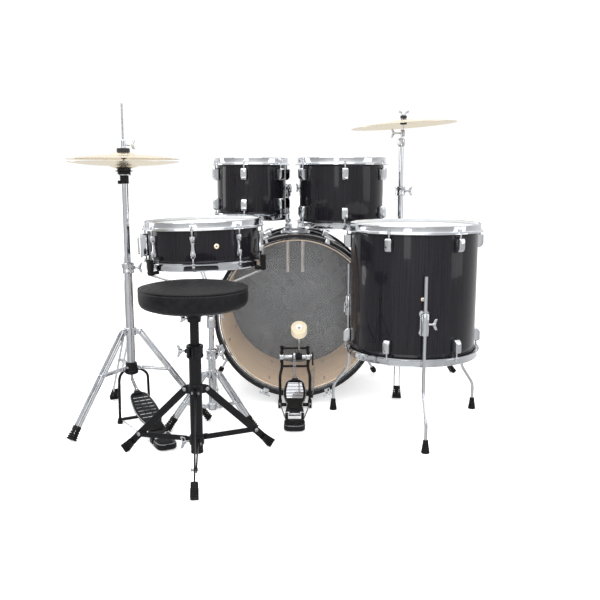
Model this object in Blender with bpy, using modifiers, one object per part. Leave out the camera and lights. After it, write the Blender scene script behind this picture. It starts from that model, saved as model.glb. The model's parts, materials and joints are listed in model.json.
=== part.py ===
"""Acoustic drum kit with two rack toms, floor tom, snare, hi-hat, crash cymbal, bass pedal and throne.

World frame: metres, +Z up, the player faces +Y, floor at Z = 0, origin under the middle of the kit.
"""
import math

import bpy
import bmesh
from mathutils import Matrix, Vector

KIT = "acoustic_drum_kit"
GAP = 0.0003
BASS_SIDES, DRUM_SIDES, CYMBAL_SIDES, TUBE_SIDES = 28, 24, 24, 8

# Where each assembly stands on the floor
BASS_X, BASS_Z = 0.031, 0.320
BATTER_EDGE_Y = 0.183
SMALL_TOM_XY = (-0.137, 0.344)
MEDIUM_TOM_XY = (0.194, 0.301)
FLOOR_TOM_XY = (0.412, -0.049)
SNARE_XY = (-0.262, -0.059)
SNARE_STAND_XY = (-0.250, -0.056)
HIHAT_XY = (-0.5255, -0.022)
CYMBAL_STAND_XY = (0.436, 0.4856)
THRONE_XY = (-0.252, -0.425)
PEDAL_X = 0.025

# Drum shells: radius, depth and the height of the lower edge
WALL = 0.0065
BASS_R, BASS_DEPTH = 0.2794, 0.4064
SMALL_R, SMALL_LOW, SMALL_HIGH = 0.127, 0.6705, 0.8735
MEDIUM_R, MEDIUM_LOW, MEDIUM_HIGH = 0.1524, 0.6435, 0.8735
FLOOR_R, FLOOR_LOW, FLOOR_HIGH = 0.2032, 0.2545, 0.6609
SNARE_R, SNARE_LOW, SNARE_HIGH = 0.1778, 0.545, 0.672

# Double tom holder on top of the bass drum
MOUNT_X, MOUNT_Y = 0.0245, 0.445
POST_SPREAD, POST_R = 0.029, 0.0075
TILT_Z = 0.775

# Snare stand
SNARE_TILT_Z = 0.372
SNARE_TILT = -1.5

# Hi-hat
HIHAT_R = 0.178
HIHAT_PEDAL_ANGLE = -60.0
HIHAT_HINGE = (0.268, 0.025)
HIHAT_TOE = 0.042
HIHAT_GAP = 0.008

# Cymbal stand
CYMBAL_R = 0.203
CYMBAL_TILT_Z = 0.983
CYMBAL_BELL_Z = 1.029
CYMBAL_LEAN = -4.0

# Throne: leg pivot, foot, lower collar pivot and the brace's place along the leg
THRONE_ANGLES = (-84.0, 36.0, 156.0)
LEG_PIVOT = (0.033, 0.221)
FOOT_R = 0.2648
BRACE_ALONG = 0.228
COLLAR_PIVOT = (0.036, 0.075)

# Bass pedal
SHAFT = (0.116, 0.185)
PEDAL_HINGE = (-0.069, 0.032)
PEDAL_TOE = (0.096, 0.112)
BEATER_ANGLE = 43.5
BEATER_REACH = 0.167
BEATER_OFFSET = 0.015

MATERIALS = {
    "shell_black": ((0.012, 0.012, 0.014), 0.18, 0.0),
    "hoop_black": ((0.010, 0.010, 0.010), 0.25, 0.0),
    "chrome": ((0.80, 0.81, 0.83), 0.08, 1.0),
    "head_white": ((0.86, 0.86, 0.84), 0.45, 0.0),
    "head_clear": ((0.75, 0.77, 0.78), 0.15, 0.0),
    "head_grey": ((0.08, 0.08, 0.085), 0.40, 0.0),
    "bronze": ((0.83, 0.66, 0.36), 0.22, 1.0),
    "steel_black": ((0.015, 0.015, 0.016), 0.40, 0.0),
    "vinyl": ((0.018, 0.018, 0.020), 0.50, 0.0),
    "felt": ((0.78, 0.70, 0.52), 0.85, 0.0),
}


# ---------------------------------------------------------------- scene and materials

def clear_scene():
    for obj in list(bpy.data.objects):
        bpy.data.objects.remove(obj, do_unlink=True)


def new_collection(name):
    group = bpy.data.collections.new(name)
    bpy.context.scene.collection.children.link(group)
    return group


def make_materials():
    made = {}
    for name, (colour, roughness, metallic) in MATERIALS.items():
        material = bpy.data.materials.new(name)
        material.use_nodes = True
        shader = material.node_tree.nodes["Principled BSDF"]
        shader.inputs["Base Color"].default_value = (*colour, 1.0)
        shader.inputs["Roughness"].default_value = roughness
        shader.inputs["Metallic"].default_value = metallic
        made[name] = material
    return made


# ---------------------------------------------------------------- places and directions

def at(x, y, z=0.0):
    return Matrix.Translation((x, y, z))


def turn(degrees, axis="Z"):
    return Matrix.Rotation(math.radians(degrees), 4, axis)


def polar(radius, degrees, z=0.0, lateral=0.0):
    """A point at a radius and bearing, moved sideways across that bearing."""
    angle = math.radians(degrees)
    across = Vector((-math.sin(angle), math.cos(angle), 0.0))
    return Vector((radius * math.cos(angle), radius * math.sin(angle), z)) + lateral * across


# ---------------------------------------------------------------- solids

def piece_of(mesh):
    obj = bpy.data.objects.new("piece", mesh)
    workshop.objects.link(obj)
    return obj


def settled(obj):
    """The object's evaluated mesh, with its modifiers applied, as a new plain mesh."""
    evaluated = obj.evaluated_get(bpy.context.evaluated_depsgraph_get())
    return bpy.data.meshes.new_from_object(evaluated)


def from_bmesh(work):
    mesh = bpy.data.meshes.new("piece")
    work.to_mesh(mesh)
    work.free()
    return piece_of(mesh)


def block(size, centre, facing=Matrix()):
    work = bmesh.new()
    place = Matrix.Translation(centre) @ facing.to_4x4() @ Matrix.Diagonal((*size, 1.0))
    bmesh.ops.create_cube(work, size=1.0, matrix=place)
    return from_bmesh(work)


def rod(start, end, radius, sides=8, end_radius=None):
    start, end = Vector(start), Vector(end)
    along = end - start
    place = Matrix.Translation((start + end) / 2) @ along.to_track_quat("Z", "Y").to_matrix().to_4x4()
    work = bmesh.new()
    bmesh.ops.create_cone(work, cap_ends=True, segments=sides, radius1=radius,
                          radius2=radius if end_radius is None else end_radius,
                          depth=along.length, matrix=place)
    return from_bmesh(work)


def bar(start, end, width, thickness, side):
    """A flat bar from start to end whose thickness lies along the side direction."""
    start, end, side = Vector(start), Vector(end), Vector(side).normalized()
    along = (end - start).normalized()
    facing = Matrix((along, side, along.cross(side))).transposed()
    return block(((end - start).length, thickness, width), (start + end) / 2, facing)


def turned(profile, sides, closed=False, place=Matrix()):
    """A solid of revolution about Z; the profile of (radius, z) runs down its outer side."""
    work = bmesh.new()
    points = [work.verts.new((r, 0.0, z)) for r, z in profile]
    edges = list(zip(points, points[1:]))
    if closed:
        edges.append((points[-1], points[0]))
    for pair in edges:
        work.edges.new(pair)
    obj = from_bmesh(work)
    screw = obj.modifiers.new("turn", "SCREW")
    screw.steps = screw.render_steps = sides
    screw.use_merge_vertices = True
    screw.merge_threshold = 0.00002
    mesh = settled(obj)
    mesh.transform(place)
    bpy.data.objects.remove(obj, do_unlink=True)
    return piece_of(mesh)


def ring(inner, outer, low, high, sides, place=Matrix()):
    return turned([(outer, high), (outer, low), (inner, low), (inner, high)], sides, True, place)


def cylinder(radius, low, high, sides):
    """An upright cylinder on the Z axis whose corners line up with those of a ring."""
    return turned([(0.0, high), (radius, high), (radius, low), (0.0, low)], sides)


def mesh_from_curve(curve, place=Matrix()):
    obj = bpy.data.objects.new("curve", curve)
    workshop.objects.link(obj)
    mesh = settled(obj)
    bpy.data.objects.remove(obj, do_unlink=True)
    work = bmesh.new()
    work.from_mesh(mesh)
    bmesh.ops.remove_doubles(work, verts=work.verts, dist=0.00001)
    work.transform(place)
    return from_bmesh(work)


def pipe(points, radius, resolution=1):
    curve = bpy.data.curves.new("pipe", "CURVE")
    curve.dimensions = "3D"
    curve.bevel_depth = radius
    curve.bevel_resolution = resolution
    curve.use_fill_caps = True
    spline = curve.splines.new("POLY")
    spline.points.add(len(points) - 1)
    for target, point in zip(spline.points, points):
        target.co = (*point, 1.0)
    return mesh_from_curve(curve)


def plate(outline, thickness, place):
    curve = bpy.data.curves.new("plate", "CURVE")
    curve.dimensions = "2D"
    curve.fill_mode = "BOTH"
    curve.extrude = thickness / 2
    spline = curve.splines.new("POLY")
    spline.use_cyclic_u = True
    spline.points.add(len(outline) - 1)
    for target, (x, y) in zip(spline.points, outline):
        target.co = (x, y, 0.0, 1.0)
    return mesh_from_curve(curve, place)


def combine(base, others, operation):
    """One mesh from the base and the other pieces, which are used up."""
    group = bpy.data.collections.new("operands")
    for other in others:
        group.objects.link(other)
    boolean = base.modifiers.new("combine", "BOOLEAN")
    boolean.operation = operation
    boolean.operand_type = "COLLECTION"
    boolean.collection = group
    mesh = settled(base)
    for used in [base, *others]:
        bpy.data.objects.remove(used, do_unlink=True)
    bpy.data.collections.remove(group)
    return piece_of(mesh)


def joined(pieces):
    return combine(pieces[0], pieces[1:], "UNION") if len(pieces) > 1 else pieces[0]


def drilled(piece, cutters):
    return combine(piece, cutters, "DIFFERENCE")


def node(name, material, pieces, place=Matrix(), pivot=(0.0, 0.0, 0.0)):
    """A finished named sub-part with its origin at the pivot, given in its assembly's frame."""
    made = joined(pieces)
    mesh = made.data
    bpy.data.objects.remove(made, do_unlink=True)
    origin = place @ Vector(pivot)
    mesh.transform(Matrix.Translation(-origin) @ place)
    mesh.name = name
    mesh.materials.clear()
    mesh.materials.append(materials[material])
    mesh.shade_smooth()
    mesh.set_sharp_from_angle(angle=math.radians(35))
    obj = bpy.data.objects.new(name, mesh)
    obj.location = origin
    kit.objects.link(obj)
    return obj


# ---------------------------------------------------------------- drums

def head(radius, sides, place):
    """A drum head lying on an edge at z = 0: film, collar and the flesh hoop outside the shell."""
    profile = [(0.0, 0.0013), (radius + 0.004, 0.0013), (radius + 0.0068, -0.011),
               (radius + 0.0006, -0.011), (radius + 0.0006, GAP), (0.0, GAP)]
    return turned(profile, sides, place=place)


def steel_hoop(radius, sides, place):
    """A flanged hoop around a head at z = 0: rim, a wall that wedges over the flesh hoop, flange."""
    profile = [(radius + 0.0085, 0.010), (radius + 0.0095, -0.0115), (radius + 0.0165, -0.0150),
               (radius + 0.0074, -0.0150), (radius + 0.0044, 0.010)]
    return turned(profile, sides, True, place)


def tension_rods(radius, angles, edge, stop, r):
    """Rods from the hoop's flange at the edge height to the stop height at the lug."""
    sign = 1.0 if edge > stop else -1.0
    offset = radius + 0.0125
    return [rod(polar(offset, a, edge - sign * 0.007), polar(offset, a, stop), r, 4) for a in angles]


def lug_blocks(radius, angles, centre, size):
    depth, width, height = size
    middle = radius + depth / 2 - 0.003
    return [block((depth, width, height), polar(middle, a, centre), turn(a)) for a in angles]


def drum(name, radius, low, high, angles, place, lug, double=False, extra=(), cuts=()):
    """Shell, two heads and two hoops as five nodes; double lugs share one block at mid height."""
    sides, height = DRUM_SIDES, lug[2]
    shell = [ring(radius - WALL, radius, low, high, sides)]
    reach = 0.026
    if double:
        middle = (low + high) / 2
        shell += lug_blocks(radius, angles, middle, lug)
        upper_stop, lower_stop = middle + height / 2, middle - height / 2
    else:
        upper_stop, lower_stop = high - reach, low + reach
        shell += lug_blocks(radius, angles, upper_stop - height / 2, lug)
        shell += lug_blocks(radius, angles, lower_stop + height / 2, lug)
    body = joined(shell + list(extra))
    if cuts:
        body = drilled(body, list(cuts))
    node(name + "_shell", "shell_black", [body], place)
    upside_down = turn(180, "X")
    node(name + "_batter_head", "head_white", [head(radius, sides, at(0, 0, high))], place)
    node(name + "_bottom_head", "head_white", [head(radius, sides, at(0, 0, low) @ upside_down)], place)
    top = [steel_hoop(radius, sides, at(0, 0, high))]
    top += tension_rods(radius, angles, high, upper_stop + GAP, 0.003)
    node(name + "_top_hoop", "chrome", top, place)
    bottom = [steel_hoop(radius, sides, at(0, 0, low) @ upside_down)]
    bottom += tension_rods(radius, angles, low, lower_stop - GAP, 0.003)
    node(name + "_bottom_hoop", "chrome", bottom, place)


# ---------------------------------------------------------------- bass drum

BASS_ANGLES = [22.5 + 45.0 * k for k in range(8)]


def bass_place():
    """The bass drum is built upright with its batter edge at z = 0, then laid down."""
    return at(BASS_X, BATTER_EDGE_Y, BASS_Z) @ turn(90, "X")


def wooden_hoop(sides, place):
    outer, inner, lip = BASS_R + 0.0176, BASS_R + 0.0076, BASS_R + 0.0042
    profile = [(outer, 0.022), (outer, -0.016), (inner, -0.016), (lip, 0.022)]
    return turned(profile, sides, True, place)


def bass_hoop(name, place, lug_z):
    """A hoop with its claws and tension rods, built around an edge at z = 0."""
    pieces = [wooden_hoop(BASS_SIDES, Matrix())]
    for angle in BASS_ANGLES:
        facing = turn(angle)
        pieces.append(block((0.014, 0.026, 0.028), polar(BASS_R + 0.0235, angle, 0.0115), facing))
        pieces.append(block((0.020, 0.022, 0.006), polar(BASS_R + 0.0165, angle, 0.0235), facing))
        pieces.append(rod(polar(BASS_R + 0.0255, angle, 0.034), polar(BASS_R + 0.0255, angle, lug_z),
                          0.0035, 4))
        pieces.append(block((0.008, 0.036, 0.008), polar(BASS_R + 0.0255, angle, 0.034), facing))
    node(name, "hoop_black", pieces, place)


def spur(name, side, place):
    """A front spur: bracket pivot at the shell, tube and rubber tip, folding about the bracket."""
    start = polar(BASS_R + 0.018, -35.0 if side > 0 else -145.0, -0.330)
    floor = start.copy()
    floor.y = -BASS_Z + 0.020
    floor.x = start.x + side * 0.075
    floor.z = start.z - 0.060
    tip = floor + (floor - start).normalized() * 0.014
    pieces = [rod(start, floor, 0.0065, 8), rod(floor - (tip - floor), tip, 0.011, 8)]
    pieces.append(rod(start + Vector((0, 0, -0.016)), start + Vector((0, 0, 0.016)), 0.010, 8))
    node(name, "chrome", pieces, place, start)


def spur_bracket(side):
    angle = -35.0 if side > 0 else -145.0
    facing = turn(angle)
    cheeks = [block((0.032, 0.026, 0.006), polar(BASS_R + 0.013, angle, -0.330 + z), facing)
              for z in (-0.0195, 0.0195)]
    return cheeks + [block((0.010, 0.034, 0.056), polar(BASS_R + 0.0025, angle, -0.330), facing)]


def bass_drum():
    place = bass_place()
    shell = [ring(BASS_R - WALL, BASS_R, -BASS_DEPTH, 0.0, BASS_SIDES)]
    for centre in (-0.078, -BASS_DEPTH + 0.078):
        shell += lug_blocks(BASS_R, BASS_ANGLES, centre, (0.034, 0.024, 0.050))
    shell += spur_bracket(1) + spur_bracket(-1)
    body = joined(shell)
    depth = BATTER_EDGE_Y - MOUNT_Y
    holes = [rod((x, BASS_R - 0.03, depth), (x, BASS_R + 0.03, depth), POST_R + 0.003, 12)
             for x in post_offsets()]
    node("bass_drum_shell", "shell_black", [drilled(body, holes)], place)
    node("bass_drum_batter_head", "head_clear", [head(BASS_R, BASS_SIDES, Matrix())], place)
    front = place @ at(0, 0, -BASS_DEPTH) @ turn(180, "X")
    node("bass_drum_front_head", "head_grey", [head(BASS_R, BASS_SIDES, Matrix())], front)
    bass_hoop("bass_drum_batter_hoop", place, -0.053 + GAP)
    bass_hoop("bass_drum_front_hoop", front, -0.053 + GAP)
    spur("bass_drum_spur_left", -1, place)
    spur("bass_drum_spur_right", 1, place)


# ---------------------------------------------------------------- tom holder and toms

def post_offsets():
    """The two posts' places across the drum, measured from its centre line."""
    middle = MOUNT_X - BASS_X
    return [middle - POST_SPREAD, middle + POST_SPREAD]


def tom_mount():
    """Base plate on the shell with two clamps; each post runs down into the drum."""
    place = at(MOUNT_X, MOUNT_Y)
    saddle = BASS_Z + BASS_R + 0.0006
    pieces = [block((0.112, 0.092, 0.010), (0, 0, saddle + 0.005)),
              block((0.090, 0.050, 0.016), (0, 0, saddle + 0.017))]
    for x in (-POST_SPREAD, POST_SPREAD):
        pieces.append(rod((x, 0, saddle + 0.004), (x, 0, saddle + 0.040), 0.0165, 12))
        pieces.append(rod((x, -0.046, saddle + 0.024), (x, 0, saddle + 0.024), 0.005, 8))
        pieces.append(block((0.034, 0.006, 0.012), (x, -0.046, saddle + 0.024)))
        pieces.append(rod((x, 0, 0.448), (x, 0, TILT_Z - 0.034), POST_R, 12))
    node("tom_mount", "chrome", pieces, place)


def arm_line(post, tom):
    """Unit vector from the post to the tom, the vector across it, and the bearing in degrees."""
    line = (Vector((*tom, 0.0)) - Vector((*post, 0.0))).normalized()
    return line, Vector((-line.y, line.x, 0.0)), math.degrees(math.atan2(line.y, line.x))


def tom_arm(name, post, tom):
    """Clamp on the post's top with a fork that holds the tom's tongue; it swivels on the post."""
    line, across, bearing = arm_line(post, tom)
    facing = turn(bearing)
    centre = Vector((0, 0, TILT_Z))
    pieces = [rod((0, 0, TILT_Z - 0.034 + GAP), (0, 0, TILT_Z - 0.010), 0.0125, 12)]
    for side in (-0.0095, 0.0095):
        cheek = centre + across * side + Vector((0, 0, -0.003))
        pieces.append(block((0.020, 0.007, 0.034), cheek, facing))
    pieces.append(rod(centre - across * 0.006, centre - across * 0.030, 0.005, 8))
    pieces.append(block((0.010, 0.005, 0.030), centre - across * 0.029, facing))
    node(name, "chrome", pieces, at(*post), centre)


def tom_bracket(post, tom, radius):
    """The bracket on a tom's shell and its tongue, in the tom's own frame."""
    line, across, bearing = arm_line(post, tom)
    hinge = Vector((*post, TILT_Z)) - Vector((*tom, 0.0))
    facing = turn(bearing)
    wall = -line * (radius + 0.004) + Vector((0, 0, TILT_Z))
    tongue = bar(wall + line * 0.006, hinge, 0.018, 0.0112, across)
    knuckle = rod(hinge - across * 0.0056, hinge + across * 0.0056, 0.0095, 12)
    return [block((0.014, 0.046, 0.060), wall, facing), tongue, knuckle]


def rack_tom(name, radius, low, high, centre, post, first_lug):
    angles = [first_lug + 60.0 * k for k in range(6)]
    extra = tom_bracket(post, centre, radius)
    drum(name, radius, low, high, angles, at(*centre), (0.026, 0.026, 0.043), extra=extra)
    tom_arm(name + "_arm", post, centre)


def toms():
    tom_mount()
    left, right = [(MOUNT_X + x, MOUNT_Y) for x in (-POST_SPREAD, POST_SPREAD)]
    rack_tom("small_tom", SMALL_R, SMALL_LOW, SMALL_HIGH, SMALL_TOM_XY, left, -97.5)
    rack_tom("medium_tom", MEDIUM_R, MEDIUM_LOW, MEDIUM_HIGH, MEDIUM_TOM_XY, right, -88.5)


# ---------------------------------------------------------------- floor tom

FLOOR_LEG_ANGLES = (-88.7, 31.3, 151.3)
FLOOR_LEG_R, FLOOR_FOOT_R = 0.229, 0.298
LEG_BRACKET_Z = 0.380


def floor_leg(number, angle, place):
    """A leg rod with a double bend and a rubber foot, sliding in its bracket."""
    upper, lower = FLOOR_LEG_R, FLOOR_FOOT_R - 0.012
    path = [polar(upper, angle, 0.526), polar(upper, angle, 0.168), polar(upper + 0.004, angle, 0.152),
            polar(lower - 0.004, angle, 0.098), polar(lower, angle, 0.084), polar(lower, angle, 0.012)]
    foot = turned([(0.0, 0.040), (0.0085, 0.040), (0.013, 0.008), (0.013, 0.0), (0.0, 0.0)], 12,
                  place=Matrix.Translation(polar(lower, angle)))
    pivot = polar(upper, angle, LEG_BRACKET_Z)
    node(f"floor_tom_leg_{number}", "chrome", [pipe(path, 0.00525, 2), foot], place, pivot)


def leg_bracket(angle):
    facing, z = turn(angle), LEG_BRACKET_Z
    wing = polar(FLOOR_LEG_R, angle, z, 0.030)
    return [block((0.008, 0.034, 0.078), polar(FLOOR_R + 0.002, angle, z), facing),
            block((0.036, 0.024, 0.070), polar(FLOOR_R + 0.019, angle, z), facing),
            rod(polar(FLOOR_LEG_R, angle, z, 0.009), wing, 0.005, 8),
            block((0.008, 0.005, 0.034), wing, facing)]


def floor_tom():
    place = at(*FLOOR_TOM_XY)
    extra, bores = [], []
    for angle in FLOOR_LEG_ANGLES:
        extra += leg_bracket(angle)
        bores.append(rod(polar(FLOOR_LEG_R, angle, 0.33), polar(FLOOR_LEG_R, angle, 0.43), 0.0060, 12))
    angles = [-118.7 + 60.0 * k for k in range(6)]
    drum("floor_tom", FLOOR_R, FLOOR_LOW, FLOOR_HIGH, angles, place, (0.026, 0.026, 0.043),
         extra=extra, cuts=bores)
    for number, angle in enumerate(FLOOR_LEG_ANGLES, 1):
        floor_leg(number, angle, place)


# ---------------------------------------------------------------- snare drum and its stand

THROW_ANGLE, BUTT_ANGLE = 192.5, 12.5


def snare_place():
    """The snare leans a little about its stand's tilt pivot."""
    return at(*SNARE_XY, SNARE_TILT_Z) @ turn(SNARE_TILT, "Y") @ at(0, 0, -SNARE_TILT_Z)


def snare():
    place = snare_place()
    middle = (SNARE_LOW + SNARE_HIGH) / 2
    throw, butt = polar(SNARE_R + 0.010, THROW_ANGLE, middle), polar(SNARE_R + 0.007, BUTT_ANGLE, middle)
    extra = [block((0.026, 0.030, 0.062), throw, turn(THROW_ANGLE)),
             block((0.020, 0.034, 0.040), butt, turn(BUTT_ANGLE))]
    angles = [-92.7 + 45.0 * k for k in range(8)]
    drum("snare", SNARE_R, SNARE_LOW, SNARE_HIGH, angles, place, (0.020, 0.017, 0.066), double=True,
         extra=extra)
    hinge = polar(SNARE_R + 0.0286, THROW_ANGLE, middle - 0.026)
    across = polar(1.0, THROW_ANGLE + 90.0)
    lever = [bar(hinge + Vector((0, 0, -0.004)), hinge + Vector((0, 0, 0.052)), 0.007, 0.014, across),
             rod(hinge - across * 0.010, hinge + across * 0.010, 0.0038, 8)]
    node("snare_throw_off_lever", "chrome", lever, place, hinge)


def tripod_leg(angle, hub, reach, foot, strap, side_gap):
    """Two straps from a hub (radius, z) to a rubber foot whose lowest edge rests at z = 0."""
    width, thickness = strap
    foot_length, foot_width, foot_thick = foot
    tip = Vector((reach, foot_thick / 2))
    for _ in range(6):
        slope = (tip - Vector(hub)).normalized()
        tip.y = foot_thick / 2 * slope.x
    across = polar(1.0, angle + 90.0)
    start, end = polar(hub[0], angle, hub[1]), polar(tip.x, angle, tip.y)
    along = (end - start).normalized()
    stop = end - along * 0.010
    pieces = [bar(end - along * foot_length, end, foot_thick, foot_width, across)]
    for lateral in (-side_gap, side_gap):
        pieces.append(bar(start + across * lateral, stop + across * lateral, width, thickness, across))
    return pieces, start, end, across


def ear(hub, tube_r, angle, width, height):
    """A lug from the tube's wall out past the pivot at hub (radius, z)."""
    inner, outer = tube_r - 0.001, hub[0] + 0.005
    return block((outer - inner, width, height), polar((inner + outer) / 2, angle, hub[1]), turn(angle))


def tripod(angles, hub, reach, low_hub, tube_r, brace_at, foot=(0.046, 0.032, 0.017)):
    """Leg collar, double-strap legs, lower collar and braces about the Z axis, as loose pieces."""
    gap = 0.0085
    pieces = [ring(tube_r - 0.001, tube_r + 0.006, hub[1] - 0.013, hub[1] + 0.013, TUBE_SIDES),
              ring(tube_r - 0.001, tube_r + 0.005, low_hub[1] - 0.010, low_hub[1] + 0.010, TUBE_SIDES)]
    for angle in angles:
        leg, start, end, across = tripod_leg(angle, hub, reach, foot, (0.015, 0.003), gap)
        pieces += leg
        pieces.append(ear(hub, tube_r, angle, 2 * gap + 0.002, 0.018))
        knee = start.lerp(end, brace_at)
        ankle = polar(low_hub[0], angle, low_hub[1])
        pieces.append(bar(ankle, knee, 0.012, 0.005, across))
        pieces.append(rod(knee - across * (gap + 0.003), knee + across * (gap + 0.003), 0.0035, 4))
        pieces.append(ear(low_hub, tube_r, angle, 0.010, 0.014))
    return pieces


def tube_clamp(tube_r, z, wing_angle, height=0.034, sides=TUBE_SIDES):
    """A height clamp ring with a wing bolt, as loose pieces."""
    return [ring(tube_r - 0.001, tube_r + 0.007, z - height / 2, z + height / 2, sides),
            rod(polar(tube_r + 0.002, wing_angle, z), polar(tube_r + 0.030, wing_angle, z), 0.0045, 8),
            block((0.006, 0.036, 0.012), polar(tube_r + 0.029, wing_angle, z), turn(wing_angle))]


SNARE_LEGS = (92.0, 212.0, 332.0)
SNARE_ARMS = (102.5, 222.5, 342.5)


def snare_stand():
    place = at(*SNARE_STAND_XY)
    base = [ring(0.0104, 0.0127, 0.046, 0.250, TUBE_SIDES)]
    base += tube_clamp(0.0127, 0.236, -15.0)
    base += tripod(SNARE_LEGS, (0.028, 0.171), 0.165, (0.026, 0.060), 0.0127, 0.52)
    node("snare_stand_base", "chrome", base, place)
    fork_z = SNARE_TILT_Z
    tube = [cylinder(0.0100, 0.110, fork_z - 0.020, TUBE_SIDES),
            cylinder(0.0150, fork_z - 0.048, fork_z - 0.016, TUBE_SIDES),
            block((0.006, 0.026, 0.036), (-0.0105, 0, fork_z - 0.001)),
            block((0.006, 0.026, 0.036), (0.0105, 0, fork_z - 0.001)),
            rod((0.010, 0, fork_z), (0.038, 0, fork_z), 0.0045, 8),
            block((0.006, 0.012, 0.036), (0.037, 0, fork_z))]
    node("snare_stand_tube", "chrome", tube, place, (0, 0, 0.250))
    snare_basket()


def snare_basket():
    """Tilting hub with three arms that carry the snare drum on rubber grips."""
    place = snare_place()
    dx, dy = SNARE_STAND_XY[0] - SNARE_XY[0], SNARE_STAND_XY[1] - SNARE_XY[1]
    hub = Vector((dx, dy, SNARE_TILT_Z))
    low = SNARE_LOW - 0.0102
    pieces = [rod(hub - Vector((0.0068, 0, 0)), hub + Vector((0.0068, 0, 0)), 0.0125, 12),
              rod(hub, hub + Vector((0, 0, 0.075)), 0.0055, 8),
              rod(hub + Vector((0, 0, 0.060)), hub + Vector((0, 0, 0.086)), 0.018, 12)]
    middle = hub + Vector((0, 0, 0.073))
    for angle in SNARE_ARMS:
        outer = polar(SNARE_R + 0.0245, angle, low - 0.012)
        elbow = polar(SNARE_R - 0.020, angle, low - 0.030)
        bend, tip = outer + polar(0.001, angle), outer + Vector((0, 0, 0.034))
        shelf = polar(SNARE_R + 0.011, angle, low - 0.0070)
        pieces.append(pipe([middle, elbow, bend, tip], 0.005))
        pieces.append(block((0.026, 0.020, 0.0095), shelf, turn(angle)))
        pieces.append(block((0.013, 0.022, 0.050), outer + Vector((0, 0, 0.022)), turn(angle)))
    node("snare_basket", "chrome", pieces, place, hub)


# ---------------------------------------------------------------- hi-hat

def pedal_outline(length, toe, waist, heel):
    """A long footboard seen from above: round toe, narrow waist, wider heel; heel end at x = 0."""
    half = []
    steps = 12
    for step in range(steps + 1):
        t = step / steps
        swell = math.sin(math.pi * min(1.0, max(0.0, (t - 0.22) / 0.78)) ** 0.8) ** 0.9
        base = heel + (waist - heel) * min(1.0, t / 0.25)
        width = base + (toe - waist) * swell
        if t > 0.9:
            width *= math.sqrt(max(0.12, 1.0 - ((t - 0.9) / 0.1) ** 2))
        half.append((t * length, width / 2))
    return [(x, -y) for x, y in half] + [(x, y) for x, y in reversed(half)]


def footboard(hinge, toe, side_place, name, place):
    """Footboard from its hinge (run, z) to its toe, with a hinge barrel and a toe tab."""
    run, rise = toe[0] - hinge[0], toe[1] - hinge[1]
    length = math.hypot(run, rise)
    pitch = math.degrees(math.atan2(rise, run))
    lie = side_place @ at(hinge[0], 0, hinge[1]) @ turn(-pitch, "Y")
    outline = pedal_outline(length - 0.022, 0.079, 0.050, 0.062)
    pieces = [plate(outline, 0.005, lie @ at(0.012, 0, 0.002)),
              block((0.022, 0.036, 0.005), lie @ Vector((0.010, 0, 0.002)), lie.to_3x3()),
              block((0.022, 0.016, 0.007), lie @ Vector((length - 0.012, 0, 0.003)), lie.to_3x3()),
              rod(side_place @ Vector((hinge[0], -0.020, hinge[1])),
                  side_place @ Vector((hinge[0], 0.020, hinge[1])), 0.0055, 8)]
    node(name, "steel_black", pieces, place, side_place @ Vector((hinge[0], 0, hinge[1])))


def heel_plate(side_place, hinge, length, half):
    """Heel plate behind the hinge at run = hinge, with two ears around the hinge line."""
    back = hinge[0] - 0.009
    middle = side_place @ Vector((back - length / 2, 0, 0.012))
    pieces = [block((length, 2 * half, 0.018), middle, side_place.to_3x3())]
    for lateral in (-0.0265, 0.0265):
        ear = side_place @ at(hinge[0] - 0.006, lateral, hinge[1] - 0.006)
        pieces.append(block((0.026, 0.010, 0.024), ear.translation, side_place.to_3x3()))
    return pieces


def cymbal_profile(radius, rise, bell, hole, thickness=0.0018):
    """Closed section of a cymbal whose rim's underside is at z = 0: bow, bell and centre hole."""
    bow = [(radius, 0.0), (radius * 0.66, rise * 0.52), (bell, rise * 0.86), (bell * 0.68, rise + 0.003),
           (hole, rise + 0.006)]
    upper = [(r, z + thickness) for r, z in reversed(bow)]
    return upper + bow


def hihat_base():
    place = at(*HIHAT_XY)
    bored = 0.0118
    base = [ring(bored, 0.0142, 0.196, 0.535, TUBE_SIDES)]
    base += tube_clamp(0.0142, 0.520, 10.0)
    base += tripod((-124.0, -2.0, 118.0), (0.034, 0.307), 0.262, (0.036, 0.184), 0.0142, 0.42)
    casting = [cylinder(0.0175, 0.160, 0.202, TUBE_SIDES)]
    walk = turn(HIHAT_PEDAL_ANGLE)
    for side in (-1, 1):
        path = [(0.004, side * 0.008, 0.178), (0.010, side * 0.030, 0.176), (0.018, side * 0.044, 0.160),
                (0.020, side * 0.049, 0.140), (0.020, side * 0.052, 0.006)]
        casting.append(pipe([walk @ Vector(p) for p in path], 0.0045))
        foot, heel = (0.020, side * 0.052, 0.0), (HIHAT_HINGE[0] + 0.02, side * 0.025, 0.012)
        casting.append(rod(walk @ Vector(foot), walk @ Vector((0.020, side * 0.052, 0.016)), 0.008, 8))
        casting.append(rod(walk @ Vector((0.018, side * 0.048, 0.012)), walk @ Vector(heel), 0.0028, 6))
    casting.append(block((0.012, 0.100, 0.009), (walk @ at(0.020, 0, 0.013)).translation, walk.to_3x3()))
    casting += heel_plate(toward_stand(), HIHAT_HINGE, 0.072, 0.031)
    body = drilled(joined(base + casting), [cylinder(0.0042, 0.150, 0.210, TUBE_SIDES)])
    node("hihat_stand_base", "chrome", [body], place)


def toward_stand():
    """The pedal's own frame: +X runs from the heel to the stand, which is on the hinge's far side."""
    hinge = HIHAT_HINGE[0]
    return turn(HIHAT_PEDAL_ANGLE) @ at(hinge, 0, 0) @ turn(180) @ at(-hinge, 0, 0)


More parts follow.
